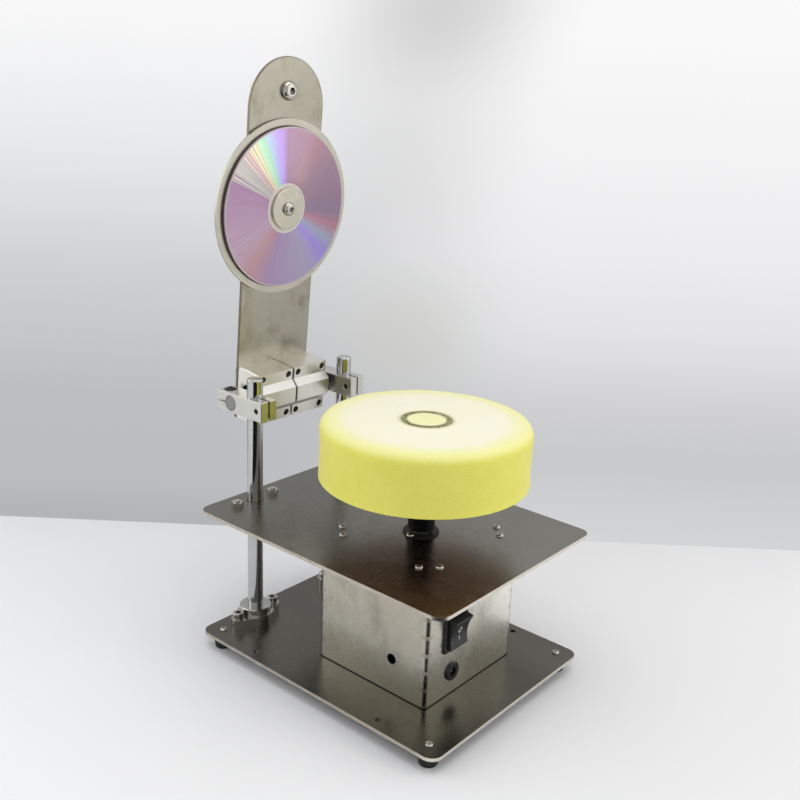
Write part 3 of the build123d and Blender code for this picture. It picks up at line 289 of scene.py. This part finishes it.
def plate_detail(finish, colour):
    """Nicked cut edge painted pale as a painted highlight, palest along the front; painted shade on
    the base plate under the upper plate; a painted contact shadow round the motor box's foot.
    """
    x, y, z = finish.split(finish.about((0, PLATE.y, 0)))
    across = finish.maths("MAXIMUM", abs(x) - (PLATE_HIGH.x - PLATE_CORNER), 0.0)
    along = finish.maths("MAXIMUM", abs(y) - (PLATE_HIGH.y - PLATE.y - PLATE_CORNER), 0.0)
    out = finish.length(across, along)
    # painted highlight: a pale band along the cut edge, palest along the front, with real nicks in
    # it
    rim = finish.smooth(out, PLATE_CORNER - 0.00035, PLATE_CORNER - 0.00005)
    nicks = finish.noise(finish.place, (260, 260, 900), 3)
    front = finish.smooth(y, -0.100, -0.112)
    edge = finish.mix(finish.mix(tone("#a1968a"), tone("#d6d0c4"), nicks),
                      finish.mix(tone("#cbc5b9"), tone("#f2ede0"), nicks), front)
    # painted shade: the base plate darkened under the upper plate, most at the front, less on the
    # right
    shade = finish.smooth(z, 0.08, 0.04) * (0.35 + 0.42 * finish.smooth(y, 0.03, -0.05))
    shade = shade * (1.0 - 0.35 * finish.smooth(x, 0.03, 0.07))
    colour = finish.mix(colour, tone("#4d4a40"), shade)
    # painted contact shadow: a dark line round the motor box's foot on the base plate
    foot = finish.maths("MAXIMUM", abs(x), abs(y - (WHEEL.y - PLATE.y))) - BOX_HALF
    joint_shadow = finish.band(foot, -0.0004, 0.0003, 0.0004)
    joint_shadow = joint_shadow * finish.smooth(z, BASE_TOP + 0.01, BASE_TOP + 0.001)
    return finish.mix(finish.mix(colour, tone("#17130c"), 0.9 * joint_shadow), edge, rim)


def machined(name, light, dark, roughness, tooth_size=2400, relief=0.00002):
    """Satin machined aluminium: fine even tooth, faint clouds, slightly darker spots."""
    finish = Finish(name, metallic=1.0)
    tooth = finish.noise(finish.place, (tooth_size,) * 3, 3)
    clouds = finish.noise(finish.place, (90, 80, 100), 3)
    value = 0.4 * tooth + 0.5 * clouds + 0.1
    finish.set(base_color=finish.mix(tone(dark), tone(light), value),
               roughness=roughness + 0.12 * (clouds - 0.5) + 0.06 * (tooth - 0.5))
    finish.bump(tooth, relief, 0.6)
    return finish


def ground_shaft(name, light, dark, roughness):
    """Ground, chromed bar: rings too fine to count, rubbed patches, dull hinge shaft ends."""
    finish = Finish(name, metallic=1.0)
    lines = finish.noise(finish.place, (40, 40, 5200), 2)
    rub = finish.noise(finish.place, (120, 120, 45), 4)
    x, _, _ = finish.split(finish.place)
    end = finish.smooth(abs(x), 0.0550, 0.0556)
    colour = finish.mix(tone(dark), tone(light), 0.3 * lines + 0.6 * rub + 0.1)
    worn = roughness + 0.05 * lines + 0.10 * finish.smooth(rub, 0.55, 0.8)
    finish.set(base_color=finish.mix(colour, tone("#8f8f8c"), end), roughness=worn + 0.25 * end)
    finish.bump(lines, 0.000004, 0.5)
    return finish


def fastener(name, light, dark, roughness, metallic=1.0):
    """Screws and nuts: smooth, with a faint grain and darker worn patches."""
    finish = Finish(name, metallic=metallic)
    grain = finish.noise(finish.place, (3800, 3800, 3800), 2)
    worn = finish.noise(finish.place, (420, 420, 420), 4)
    finish.set(base_color=finish.mix(tone(dark), tone(light), 0.3 * grain + 0.8 * worn - 0.05),
               roughness=roughness + 0.18 * (worn - 0.4))
    finish.bump(0.4 * grain + 0.6 * worn, 0.00002, 0.4)
    return finish


def moulded(name, light, dark, roughness, tooth=1500, depth=0.00004):
    """Moulded plastic or rubber with a fine spark-eroded tooth."""
    finish = Finish(name)
    fine = finish.noise(finish.place, (tooth, tooth, tooth), 3)
    broad = finish.noise(finish.place, (110, 110, 110), 3)
    finish.set(base_color=finish.mix(tone(dark), tone(light), 0.45 * fine + 0.55 * broad),
               roughness=roughness + 0.12 * (broad - 0.5) + 0.06 * (fine - 0.5))
    finish.bump(fine, depth, 0.7)
    return finish


def turned_tray():
    """Turned aluminium: rings about the spindle, dulled patches."""
    finish = Finish("tray_aluminium", metallic=1.0)
    place = finish.about(TRAY, ARM_TURN)
    x, y, _ = finish.split(place)
    rings = finish.line_noise(finish.length(x, y) * 5200, 3.0)
    dull = finish.noise(place, (60, 70, 60), 5, 0.6)
    finish.set(base_color=finish.mix(tone("#a5a193"), tone("#cfccc0"), 0.35 * rings + 0.7 * dull),
               roughness=0.34 + 0.12 * (dull - 0.5) + 0.06 * rings)
    finish.bump(rings, 0.00002, 0.5)
    return finish


def box_detail(finish, colour):
    """Smudges, a front painted paler as a painted highlight, a lower part painted paler as painted
    reflected light, laser-cut slots down the bends painted dark as painted shade with sooty bands
    along them, a painted contact shadow at the foot.
    """
    x, y, z = finish.split(finish.about((0, WHEEL.y, 0)))
    blotch = finish.noise(finish.place, (34, 34, 26), 5, 0.6)
    colour = finish.mix(colour, tone("#6f6857"), 0.42 * finish.smooth(blotch, 0.46, 0.74))
    # painted highlight: the front face painted paler, most towards the upper right, less on the
    # smudges
    front = finish.smooth(y, -0.045, -0.051)
    painted_highlight = 0.65 * finish.smooth(x + 0.8 * z, 0.03, 0.11)
    painted_highlight = 0.30 + painted_highlight * finish.smooth(blotch, 0.68, 0.40)
    colour = finish.mix(colour, tone("#fdfcf4"), front * painted_highlight)
    # painted reflected light: the lower part of the box painted paler
    colour = finish.mix(colour, tone("#f6f4e9"), 0.4 * finish.smooth(z, 0.065, 0.025))
    # painted shade: the slots painted dark for the box's shaded inside seen through them, over
    # sooty bands along the bends
    inward = BOX_HALF - finish.maths("MINIMUM", abs(x), abs(y))
    step = finish.maths("FRACT", (z - BASE_TOP - SLOT_START) / SLOT_PITCH) * SLOT_PITCH
    slot = finish.smooth(step, SLOT_LENGTH + 0.0006, SLOT_LENGTH - 0.0002)
    soot_and_slot_shade = finish.smooth(inward, 0.0031, 0.0014)
    colour = finish.mix(colour, tone("#4b4437"), soot_and_slot_shade * (0.35 + 0.55 * slot))
    heat = finish.smooth(inward, 0.0075, 0.0016) * (1.0 - slot)
    colour = finish.mix(colour, tone("#7a6c55"), 0.45 * heat)
    # painted contact shadow: a dark band at the foot of the box's walls
    foot = finish.smooth(z, BASE_TOP + 0.0012, BASE_TOP + 0.0004)
    return finish.mix(colour, tone("#1c170f"), 0.92 * foot)


def arm_detail(finish, colour):
    """Olive blotches and short scuffs as on the photographed sheet, brown cut edges."""
    place = finish.about(TRAY, ARM_TURN)
    x, y, _ = finish.split(place)
    blotch = finish.smooth(finish.noise(place, (40, 34, 40), 5, 0.62), 0.48, 0.72)
    colour = finish.mix(colour, tone("#747058"), 0.55 * blotch)
    scuff = finish.smooth(finish.noise(place, (900, 150, 500), 2), 0.70, 0.76)
    colour = finish.mix(colour, tone("#e6e3d6"), 0.35 * scuff)
    above = finish.maths("MAXIMUM", y - ARM_ROUND, 0.0)
    edge = finish.smooth(finish.length(x, above), *ARM_EDGE)
    return finish.mix(colour, tone("#6c5c4c"), 0.75 * edge)


def disc_finish():
    """Optical disc: a painted reflection, the rainbow its tracks split from light, fans out by
    angle over the tracks; clear at the rim and the hub.
    """
    finish = Finish("disc_plastic", coat=0.8)
    place = finish.about(TRAY, ARM_TURN)
    x, y, _ = finish.split(place)
    radius = finish.length(x, y)
    turn = finish.maths("ARCTAN2", x, y) / (2 * pi)
    # painted reflection: the rainbow, its highlight rays and pale spokes are fixed to the disc and
    # turn with it
    rays = finish.line_noise(turn * 210, 4.0)
    fine_fan = finish.band(turn, -0.20, -0.03, 0.02)
    part = finish.maths("FRACT", turn + 1.0 + (0.008 + 0.09 * fine_fan) * (rays - 0.5))
    painted_rainbow = finish.ramp(part, [
        (0.0, "#b591ab"), (0.08, "#be939e"), (0.15, "#ae909f"),
        (0.27, "#a58ba6"), (0.30, "#d090a2"), (0.332, "#b4bdd4"), (0.368, "#b39cf8"),
        (0.42, "#b3acc8"), (0.54, "#ad8fba"), (0.60, "#c3969a"), (0.66, "#c5a6bc"),
        (0.81, "#b289ad"), (0.823, "#c8c8bc"), (0.868, "#c3b9b8"), (0.884, "#f4b9b4"),
        (0.898, "#e9f0b6"), (0.925, "#a9ecca"), (0.950, "#c3b8fa"), (0.974, "#cda4fb"),
        (0.992, "#b391ae"), (1.0, "#b591ab")])
    polar = finish.node("ShaderNodeCombineXYZ", None, {0: part * 90, 1: radius * 18})
    spokes = finish.noise(polar.outputs[0], (1, 1, 1), 4)
    painted_rainbow = finish.mix(painted_rainbow, tone("#e8e0f0"), 0.20 * finish.smooth(spokes, 0.55, 0.8))
    painted_highlight = (0.07 + 0.20 * fine_fan) * finish.smooth(rays, 0.42, 0.66)
    painted_rainbow = finish.mix(painted_rainbow, tone("#5d5062"), 0.28 - painted_highlight)
    tracks = finish.band(radius, *TRACKS, 0.0001)
    hub = finish.smooth(radius, 0.0190, 0.0187)
    clear = finish.mix(tone("#b9a9ad"), tone("#cfc8bf"), hub)
    finish.set(base_color=finish.mix(clear, painted_rainbow, tracks),
               metallic=0.25 + 0.6 * tracks,
               roughness=0.24 - 0.06 * tracks)
    finish.bump(finish.line_noise(radius * 9000, 1.0), 0.000004, 0.3)
    return finish


def foam_finish():
    """Yellow open-cell foam, its top painted paler, partly rubbed pale and partly painted light
    from above, with a dark speckled ring about its centre.
    """
    finish = Finish("foam")
    place = finish.about((WHEEL.x, WHEEL.y, 0))
    x, y, z = finish.split(place)
    radius = finish.length(x, y)
    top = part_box("foam_wheel")[1][2]
    pores = finish.cells(place, 1150)
    fine = finish.noise(place, (1500, 1500, 1500), 3)
    cloud = finish.noise(place, (38, 38, 38), 4, 0.6)
    side = finish.mix(tone("#ddd75a"), tone("#efea7c"), 0.35 * fine + 0.65 * cloud)
    # pale top colours: partly rubbed pale, partly painted light from above
    worn = finish.mix(tone("#efecc9"), tone("#f5f2e3"), cloud)
    face = finish.smooth(z, top - 0.0060, top - 0.0008)
    rubbed = finish.smooth(radius + 0.012 * (cloud - 0.5), 0.0745, 0.052)
    centre = finish.smooth(radius, 0.0150, 0.0125)
    # the top face painted paler than the sides: partly wear, partly painted light from above
    colour = finish.mix(side, tone("#eeec9e"), face)
    colour = finish.mix(colour, worn, face * rubbed * (1.0 - 0.65 * centre))
    grains = finish.noise(place, (900, 900, 900), 2)
    speckle = finish.smooth(grains + 0.25 * (cloud - 0.5), 0.34, 0.50)
    ring = finish.band(radius, *FOAM_RING, 0.0007) * face
    halo = finish.band(radius, *FOAM_HALO, 0.0016) * face
    colour = finish.mix(colour, tone("#b9b873"), 0.55 * halo)
    colour = finish.mix(colour, tone("#5d5a2a"), ring * speckle)
    # painted shade in the pores, less on the top face
    pore_shade = finish.smooth(pores, 0.55, 0.9)
    colour = finish.mix(colour, tone("#c8c24c"), 0.20 * pore_shade * (1.0 - 0.7 * face))
    finish.set(base_color=colour, roughness=0.95, specular_ior_level=0.15,
               subsurface_weight=0.12, subsurface_radius=(0.004, 0.004, 0.0015),
               subsurface_scale=1.0,
               sheen_weight=0.45, sheen_roughness=0.35, sheen_tint=tone("#fffbe0"))
    finish.bump(1.0 - pores + 0.5 * fine, 0.00028, 0.55)
    return finish


def pad_finish():
    """Dark brown rubber, matt."""
    finish = Finish("pad_rubber")
    tooth = finish.noise(finish.place, (1800, 1800, 1800), 3)
    broad = finish.noise(finish.place, (70, 70, 70), 3)
    finish.set(base_color=finish.mix(tone("#2c2321"), tone("#54453f"), 0.4 * tooth + 0.6 * broad),
               roughness=0.78 + 0.1 * (tooth - 0.5))
    finish.bump(tooth, 0.00008, 0.7)
    return finish


def rocker_finish():
    """Black rocker with the plain on and off marks painted white."""
    finish = Finish("rocker_plastic")
    low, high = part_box("switch_rocker")
    middle_z = (low[2] + high[2]) / 2
    x, y, z = finish.split(finish.about((middle("switch_rocker").x, 0, middle_z)))
    tooth = finish.noise(finish.place, (1700, 1700, 1700), 3)
    broad = finish.noise(finish.place, (200, 200, 200), 3)
    colour = finish.mix(tone("#121313"), tone("#262827"), 0.4 * tooth + 0.6 * broad)
    ring_height, bar_height, bar_side = 0.0018, -0.0050, 0.0004
    up = z - ring_height
    down = z - bar_height
    ring = finish.maths("SQRT", x * x + 0.72 * up * up)
    mark = finish.band(ring, 0.00135, 0.0020, 0.00012)
    bar = finish.smooth(abs(x - bar_side), 0.00050, 0.00036)
    bar = bar * finish.smooth(abs(down), 0.0017, 0.0015)
    front = finish.smooth(y, low[1] + 0.011, low[1] + 0.010)
    white = finish.maths("MAXIMUM", mark, 0.7 * bar) * front
    finish.set(base_color=finish.mix(colour, tone("#d8d8d4"), white),
               roughness=0.32 + 0.10 * (broad - 0.5))
    finish.bump(tooth, 0.00002, 0.5)
    return finish


finishes = {finish.name: finish for finish in (
    sheet_steel("plate_steel", "#8b8981", "#6d6b63", (46, 2600, 2600), 0.26,
                plate_detail, stains=0.35),
    sheet_steel("box_steel", "#ccc8bb", "#a9a495", (2300, 2300, 55), 0.27,
                box_detail, stains=0.6, drawn=0.06),
    sheet_steel("arm_steel", "#b5b1a4", "#949080", (1700, 60, 1700), 0.30,
                arm_detail, stains=0.75, turn=ARM_TURN),
    moulded("foot_rubber", "#262626", "#0e0e0e", 0.72, 1200, 0.00008),
    fastener("screw_steel", "#dddad1", "#8d8a80", 0.15),
    fastener("screw_black", "#2a2a2b", "#0d0d0e", 0.30, 0.6),
    ground_shaft("shaft_chrome", "#d0d1d1", "#a2a3a4", 0.06),
    machined("support_aluminium", "#d9d8d2", "#8f8e88", 0.20),
    machined("clamp_aluminium", "#dcdbd5", "#b9b8b1", 0.29),
    machined("block_aluminium", "#f2f0e8", "#d2d0c6", 0.33, 1900, 0.00003),
    fastener("bush_steel", "#b9b9b6", "#7c7c7a", 0.20),
    turned_tray(),
    pad_finish(),
    disc_finish(),
    machined("clamp_disc_aluminium", "#d2cebf", "#aeaa99", 0.26),
    fastener("bush_bronze", "#b78a4c", "#7e5a2c", 0.34),
    moulded("knob_plastic", "#f1f1ee", "#dededa", 0.34, 900, 0.00002),
    foam_finish(),
    # painted light: the backing painted lighter than its own dark red-brown, standing in for light
    # under the wheel
    moulded("backing_plastic", "#f6b576", "#e39a5a", 0.5, 1100, 0.00004),
    machined("hub_black", "#2b2c2b", "#101110", 0.28),
    fastener("motor_steel", "#a9a8a3", "#77766f", 0.32),
    moulded("motor_plastic", "#2b2b2b", "#131313", 0.5),
    fastener("tag_brass", "#8f7c4e", "#58492b", 0.38),
    moulded("seal_rubber", "#1d1d1d", "#0a0a0a", 0.5, 1300, 0.00005),
    moulded("switch_plastic", "#202121", "#0e0f0f", 0.40),
    rocker_finish(),
    moulded("inlet_plastic", "#1c1c1c", "#0a0a0a", 0.44),
)}

# Every CAD node gets the finish of its material slot.
for entry in frame["record"]["subparts"]:
    node = frame["nodes"][entry["node"]]
    finish = finishes[entry["material_slot"]].material
    for slot in node.material_slots:
        slot.material = finish


# ---------------------------------------------------------------- pieces of their own
def lathe(name, profile, steps):
    """A ring-shaped piece about Z: the profile drawn point by point, then spun."""
    bpy.ops.mesh.primitive_plane_add(size=0.001, location=(0, 0, 0))
    piece = bpy.context.object
    piece.name = name
    bpy.ops.object.mode_set(mode="EDIT")
    bpy.ops.mesh.select_all(action="SELECT")
    bpy.ops.mesh.merge(type="CENTER")
    r, z = profile[0]
    bpy.ops.transform.translate(value=(r, 0, z))
    for next_r, next_z in profile[1:]:
        bpy.ops.mesh.extrude_vertices_move(
            TRANSFORM_OT_translate={"value": (next_r - r, 0, next_z - z)})
        r, z = next_r, next_z
    bpy.ops.mesh.select_all(action="SELECT")
    bpy.ops.mesh.spin(steps=steps, angle=2 * pi, center=(0, 0, 0), axis=(0, 0, 1))
    bpy.ops.mesh.select_all(action="SELECT")
    bpy.ops.mesh.remove_doubles(threshold=0.00001)
    bpy.ops.mesh.normals_make_consistent(inside=False)
    bpy.ops.object.mode_set(mode="OBJECT")
    bpy.ops.object.shade_smooth_by_angle(angle=radians(40))
    return piece


def put(piece, centre, turn=(0, 0, 0)):
    """Moves a finished piece to its place and leaves its origin at the frame's."""
    piece.rotation_euler = turn
    piece.location = centre
    bpy.ops.object.transform_apply(location=True, rotation=True, scale=True)


def dress(piece, slot, body):
    """Gives a piece its finish and the body it moves with."""
    piece.data.materials.clear()
    piece.data.materials.append(finishes[slot].material)
    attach(piece, body)
    piece.select_set(False)


def arc(centre_r, centre_z, radius, start, end, count):
    """Points of an arc in the profile plane, angles in degrees from outwards to up."""
    angles = [radians(start + (end - start) * i / count) for i in range(count + 1)]
    return [(centre_r + radius * cos(a), centre_z + radius * sin(a)) for a in angles]


def make_foam():
    """The foam wheel with a rounded upper edge, a slight waist and soft dents."""
    low, high = (Vector(v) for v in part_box("foam_wheel"))
    outer = (high.x - low.x) / 2
    tall = high.z - low.z
    recess_radius, recess_depth = 0.01412, 0.0081   # for the boss of the backing
    roof_ring = 0.007                               # one more ring of points across its roof
    top_round, foot_round = 0.0070, 0.0008
    waist, dish = 0.0003, 0.0004                    # how far the side and the top sink in
    foot_steps, side_steps, top_steps = 12, 14, 24
    foot = outer - foot_round - recess_radius
    side = tall - top_round - foot_round
    inner = outer - top_round
    profile = [(0, recess_depth), (roof_ring, recess_depth), (recess_radius, recess_depth),
               (recess_radius, 0)]
    profile += [(recess_radius + foot * i / foot_steps, 0) for i in range(1, foot_steps)]
    profile += arc(outer - foot_round, foot_round, foot_round, -90, 0, 4)
    profile += [(outer - waist * sin(pi * i / side_steps), foot_round + side * i / side_steps)
                for i in range(1, side_steps)]
    profile += arc(inner, tall - top_round, top_round, 0, 90, 10)
    profile += [(inner * (1 - i / top_steps), tall - dish * sin(pi * i / top_steps) ** 2)
                for i in range(1, top_steps)]
    profile += [(0, tall)]
    foam = lathe("polishing_foam", profile, 176)
    put(foam, (WHEEL.x, WHEEL.y, low.z))
    dent_depth, dents_a_metre = 0.00042, 34
    foot_top = low.z + 0.0005           # below it nothing is dented
    face_foot = high.z - 0.0067         # above it the dents go down
    side_start = 0.060                  # outside it they go inwards
    for vertex in foam.data.vertices:
        point = vertex.co
        if point.z < foot_top:
            continue
        out = Vector((point.x - WHEEL.x, point.y - WHEEL.y, 0))
        dent = 0.5 + 0.5 * noise.fractal(point * dents_a_metre, 1.0, 2.0, 4)
        dent = dent_depth * max(0.0, min(1.0, dent))
        if point.z > face_foot:
            vertex.co.z -= dent
        if out.length > side_start:
            vertex.co -= out.normalized() * dent
    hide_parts("foam_wheel")
    dress(foam, "foam", "wheel")


def make_pad():
    """The rubber pad under the disc, its faces a little uneven."""
    half = 0.0008               # half its thickness
    outer, inner = 0.0605, 0.00752
    edge = 0.0003
    steps = 16
    flat = outer - edge - inner
    profile = [(inner, -half)]
    profile += [(inner + flat * i / steps, -half) for i in range(1, steps)]
    profile += arc(outer - edge, -half + edge, edge, -90, 0, 3)
    profile += arc(outer - edge, half - edge, edge, 0, 90, 3)
    profile += [(outer - edge - flat * i / steps, half) for i in range(1, steps)]
    profile += [(inner, half), (inner, -half)]
    pad = lathe("disc_pad", profile, 144)
    wave_depth, waves_a_metre = 0.00006, 160
    for vertex in pad.data.vertices:
        wave = 0.5 + 0.5 * noise.noise(vertex.co * waves_a_metre)
        if abs(vertex.co.z) > half / 2:
            vertex.co.z -= wave_depth * wave * (1 if vertex.co.z > 0 else -1)
    put(pad, middle("pad"), ARM_TURN)
    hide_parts("pad")
    dress(pad, "pad_rubber", "tray")


def make_stacking_ring():
    """The low ring moulded on a disc's face just outside its clamping area."""
    face = 0.0006               # half the disc's thickness
    ring_radius, bead, sunk = 0.0173, 0.00042, 0.00015
    profile = arc(ring_radius, face - sunk, bead, -30, 210, 10)
    ring = lathe("disc_stacking_ring", profile + [profile[0]], 112)
    put(ring, middle("disc"), ARM_TURN)
    dress(ring, "disc_plastic", "tray")


make_foam()
make_pad()
make_stacking_ring()


# ---------------------------------------------------------------- stage
def stage_finish(name, colour_at, lit=True):
    """Matt surface. If not lit, it glows with its own colour for the camera and mirrors, and
    its back is clear, so that it never hides the object."""
    finish = Finish(name)
    finish.set(roughness=0.6, specular_ior_level=0.0)
    colour = colour_at(finish)
    finish.set(base_color=colour)
    if not lit:
        rays = finish.node("ShaderNodeLightPath").outputs
        seen = Number(finish, rays["Is Camera Ray"]) + Number(finish, rays["Is Glossy Ray"])
        seen = finish.maths("MINIMUM", seen + Number(finish, rays["Is Transmission Ray"]), 1.0)
        glow = finish.node("ShaderNodeEmission", None, {"Color": colour, "Strength": 1.0})
        mixed = finish.node("ShaderNodeMixShader", None, {0: seen.socket})
        finish.feed(mixed.inputs[1], finish.shader.outputs[0])
        finish.feed(mixed.inputs[2], glow.outputs[0])
        back = finish.node("ShaderNodeNewGeometry").outputs["Backfacing"]
        open_behind = finish.node("ShaderNodeMixShader", None, {0: back})
        finish.feed(open_behind.inputs[1], mixed.outputs[0])
        finish.feed(open_behind.inputs[2], finish.node("ShaderNodeBsdfTransparent").outputs[0])
        finish.feed(finish.tree.nodes["Material Output"].inputs["Surface"], open_behind.outputs[0])
    return finish.material


VIEW = Vector((0.769, 0.639, 0)).normalized()   # level direction away from the camera
SIDE = Vector((VIEW.y, -VIEW.x, 0))             # to the camera's right
STAGE_TURN = (0, 0, -asin(VIEW.x))              # sets a sheet square to the camera
FOLD = 0.213                    # where the backdrop starts on the floor
WALL = 0.228                    # where it stands upright


def floor_colour(finish):
    """White paper with painted shade, a little greyer in front and on the right."""
    x, y, _ = finish.split(finish.place)
    paper = finish.mix(tone("#efeff0"), tone("#f4f4f4"), finish.noise(finish.place, (6, 6, 6), 3))
    # painted shade: greyer towards the front and the right
    right = finish.smooth(x * SIDE.x + y * SIDE.y, -0.05, 0.22)
    front = finish.smooth(x * VIEW.x + y * VIEW.y, 0.10, -0.20)
    return finish.mix(paper, tone("#e0dfde"), 0.13 * front + 0.38 * right)


def wall_colour(finish):
    """Painted light and shade: grey low down, white at the top, a little darker on the left,
    painted shade along one soft crease, and the foam's faint yellow light on it."""
    x, y, z = finish.split(finish.place)
    across = x * SIDE.x + y * SIDE.y
    height = z / 0.5
    # painted light and shade: darker low down and on the left, white at the top
    left = finish.ramp(height, [(0.0, "#b2b4b6"), (0.08, "#bbbdc0"), (0.26, "#bdbec1"),
                                (0.50, "#cfd0d2"), (0.72, "#e7e8ea"), (0.95, "#f8f8f9")])
    right = finish.ramp(height, [(0.0, "#d3d4d6"), (0.16, "#c8c9ca"), (0.26, "#cfcfd1"),
                                 (0.42, "#e3e3e5"), (0.58, "#edecee"), (0.95, "#f9f9fa")])
    colour = finish.mix(left, right, finish.smooth(across, -0.12, 0.17))
    # painted shade along the crease
    crease = finish.smooth(abs(across - 0.024 - 0.25 * (z - 0.45)), 0.138, 0.0)
    crease = crease * (0.45 * finish.smooth(z, 0.22, 0.34) + 0.45 * finish.smooth(z, 0.40, 0.49))
    colour = finish.mix(colour, tone("#cfcfcf"), crease)
    foam_light = finish.smooth(abs(across - 0.02), 0.10, 0.0) * finish.band(z, 0.17, 0.23, 0.06)
    return finish.mix(colour, tone("#c6c8ba"), 0.55 * foam_light)


def sheet(name, size, place, turn, finish):
    """A flat stage sheet."""
    bpy.ops.mesh.primitive_plane_add(size=1.0, location=place, rotation=turn)
    made = bpy.context.object
    made.name = name
    made.scale = (*size, 1)
    bpy.ops.object.transform_apply(location=True, rotation=True, scale=True)
    made.data.materials.append(finish)
    made.select_set(False)
    return made


def table_colour(finish):
    """Nearly black."""
    return finish.mix(tone("#171513"), tone("#25221f"), finish.noise(finish.place, (9, 9, 9), 2))


def lift(height):
    """Upwards by a height."""
    return Vector((0, 0, height))


sheet("floor", (40, 40), (0, 0, 0), (0, 0, 0), stage_finish("floor_paper", floor_colour))

BACKDROP_WIDTH, BACKDROP_HEIGHT = 6, 3
paper = stage_finish("backdrop_paper", wall_colour, lit=False)
sheet("backdrop", (BACKDROP_WIDTH, BACKDROP_HEIGHT), VIEW * WALL + lift(BACKDROP_HEIGHT / 2),
      (pi / 2, 0, STAGE_TURN[2]), paper)
sheet("backdrop_foot", (BACKDROP_WIDTH, WALL - FOLD), VIEW * (FOLD + WALL) / 2 + lift(0.0005),
      STAGE_TURN, paper)

# A dark table in front of the picture, which shows only in the metal.
dark_place = VIEW * -0.765 + SIDE * 0.03 + lift(0.002)
dark = sheet("dark_table", (0.62, 1.07), dark_place, STAGE_TURN,
             stage_finish("dark_table_top", table_colour))
dark.visible_camera = False
dark.visible_shadow = False
dark.visible_diffuse = False


def lamp(name, place, aim, size, power, colour):
    """A soft rectangular lamp, in watts, turned to its aim."""
    data = bpy.data.lights.new(name, "AREA")
    data.shape = "RECTANGLE"
    data.size, data.size_y = size
    data.energy = power
    data.color = colour
    made = bpy.data.objects.new(name, data)
    made.location = place
    made.rotation_euler = (Vector(aim) - Vector(place)).to_track_quat("-Z", "Y").to_euler()
    SCENE.collection.objects.link(made)


lamp("top_light", (0.0, -0.1, 1.6), (0, 0, 0), (1.5, 1.5), 9.4, (1.0, 1.0, 0.99))
lamp("left_light", -SIDE * 1.2 + lift(0.7), (0, 0, 0.2), (1.0, 1.2), 4.2, (1.0, 1.0, 1.0))
lamp("right_light", SIDE * 1.2 - VIEW * 0.2 + lift(0.6), (0, 0, 0.15), (1.0, 1.2), 4.0,
     (1.0, 0.99, 0.97))

world = bpy.data.worlds.new("surroundings")
world.use_nodes = True
surroundings = world.node_tree.nodes["Background"].inputs
surroundings["Color"].default_value = (0.96, 0.97, 1.0, 1)
surroundings["Strength"].default_value = 0.70
SCENE.world = world
SCENE.view_settings.view_transform = "Standard"
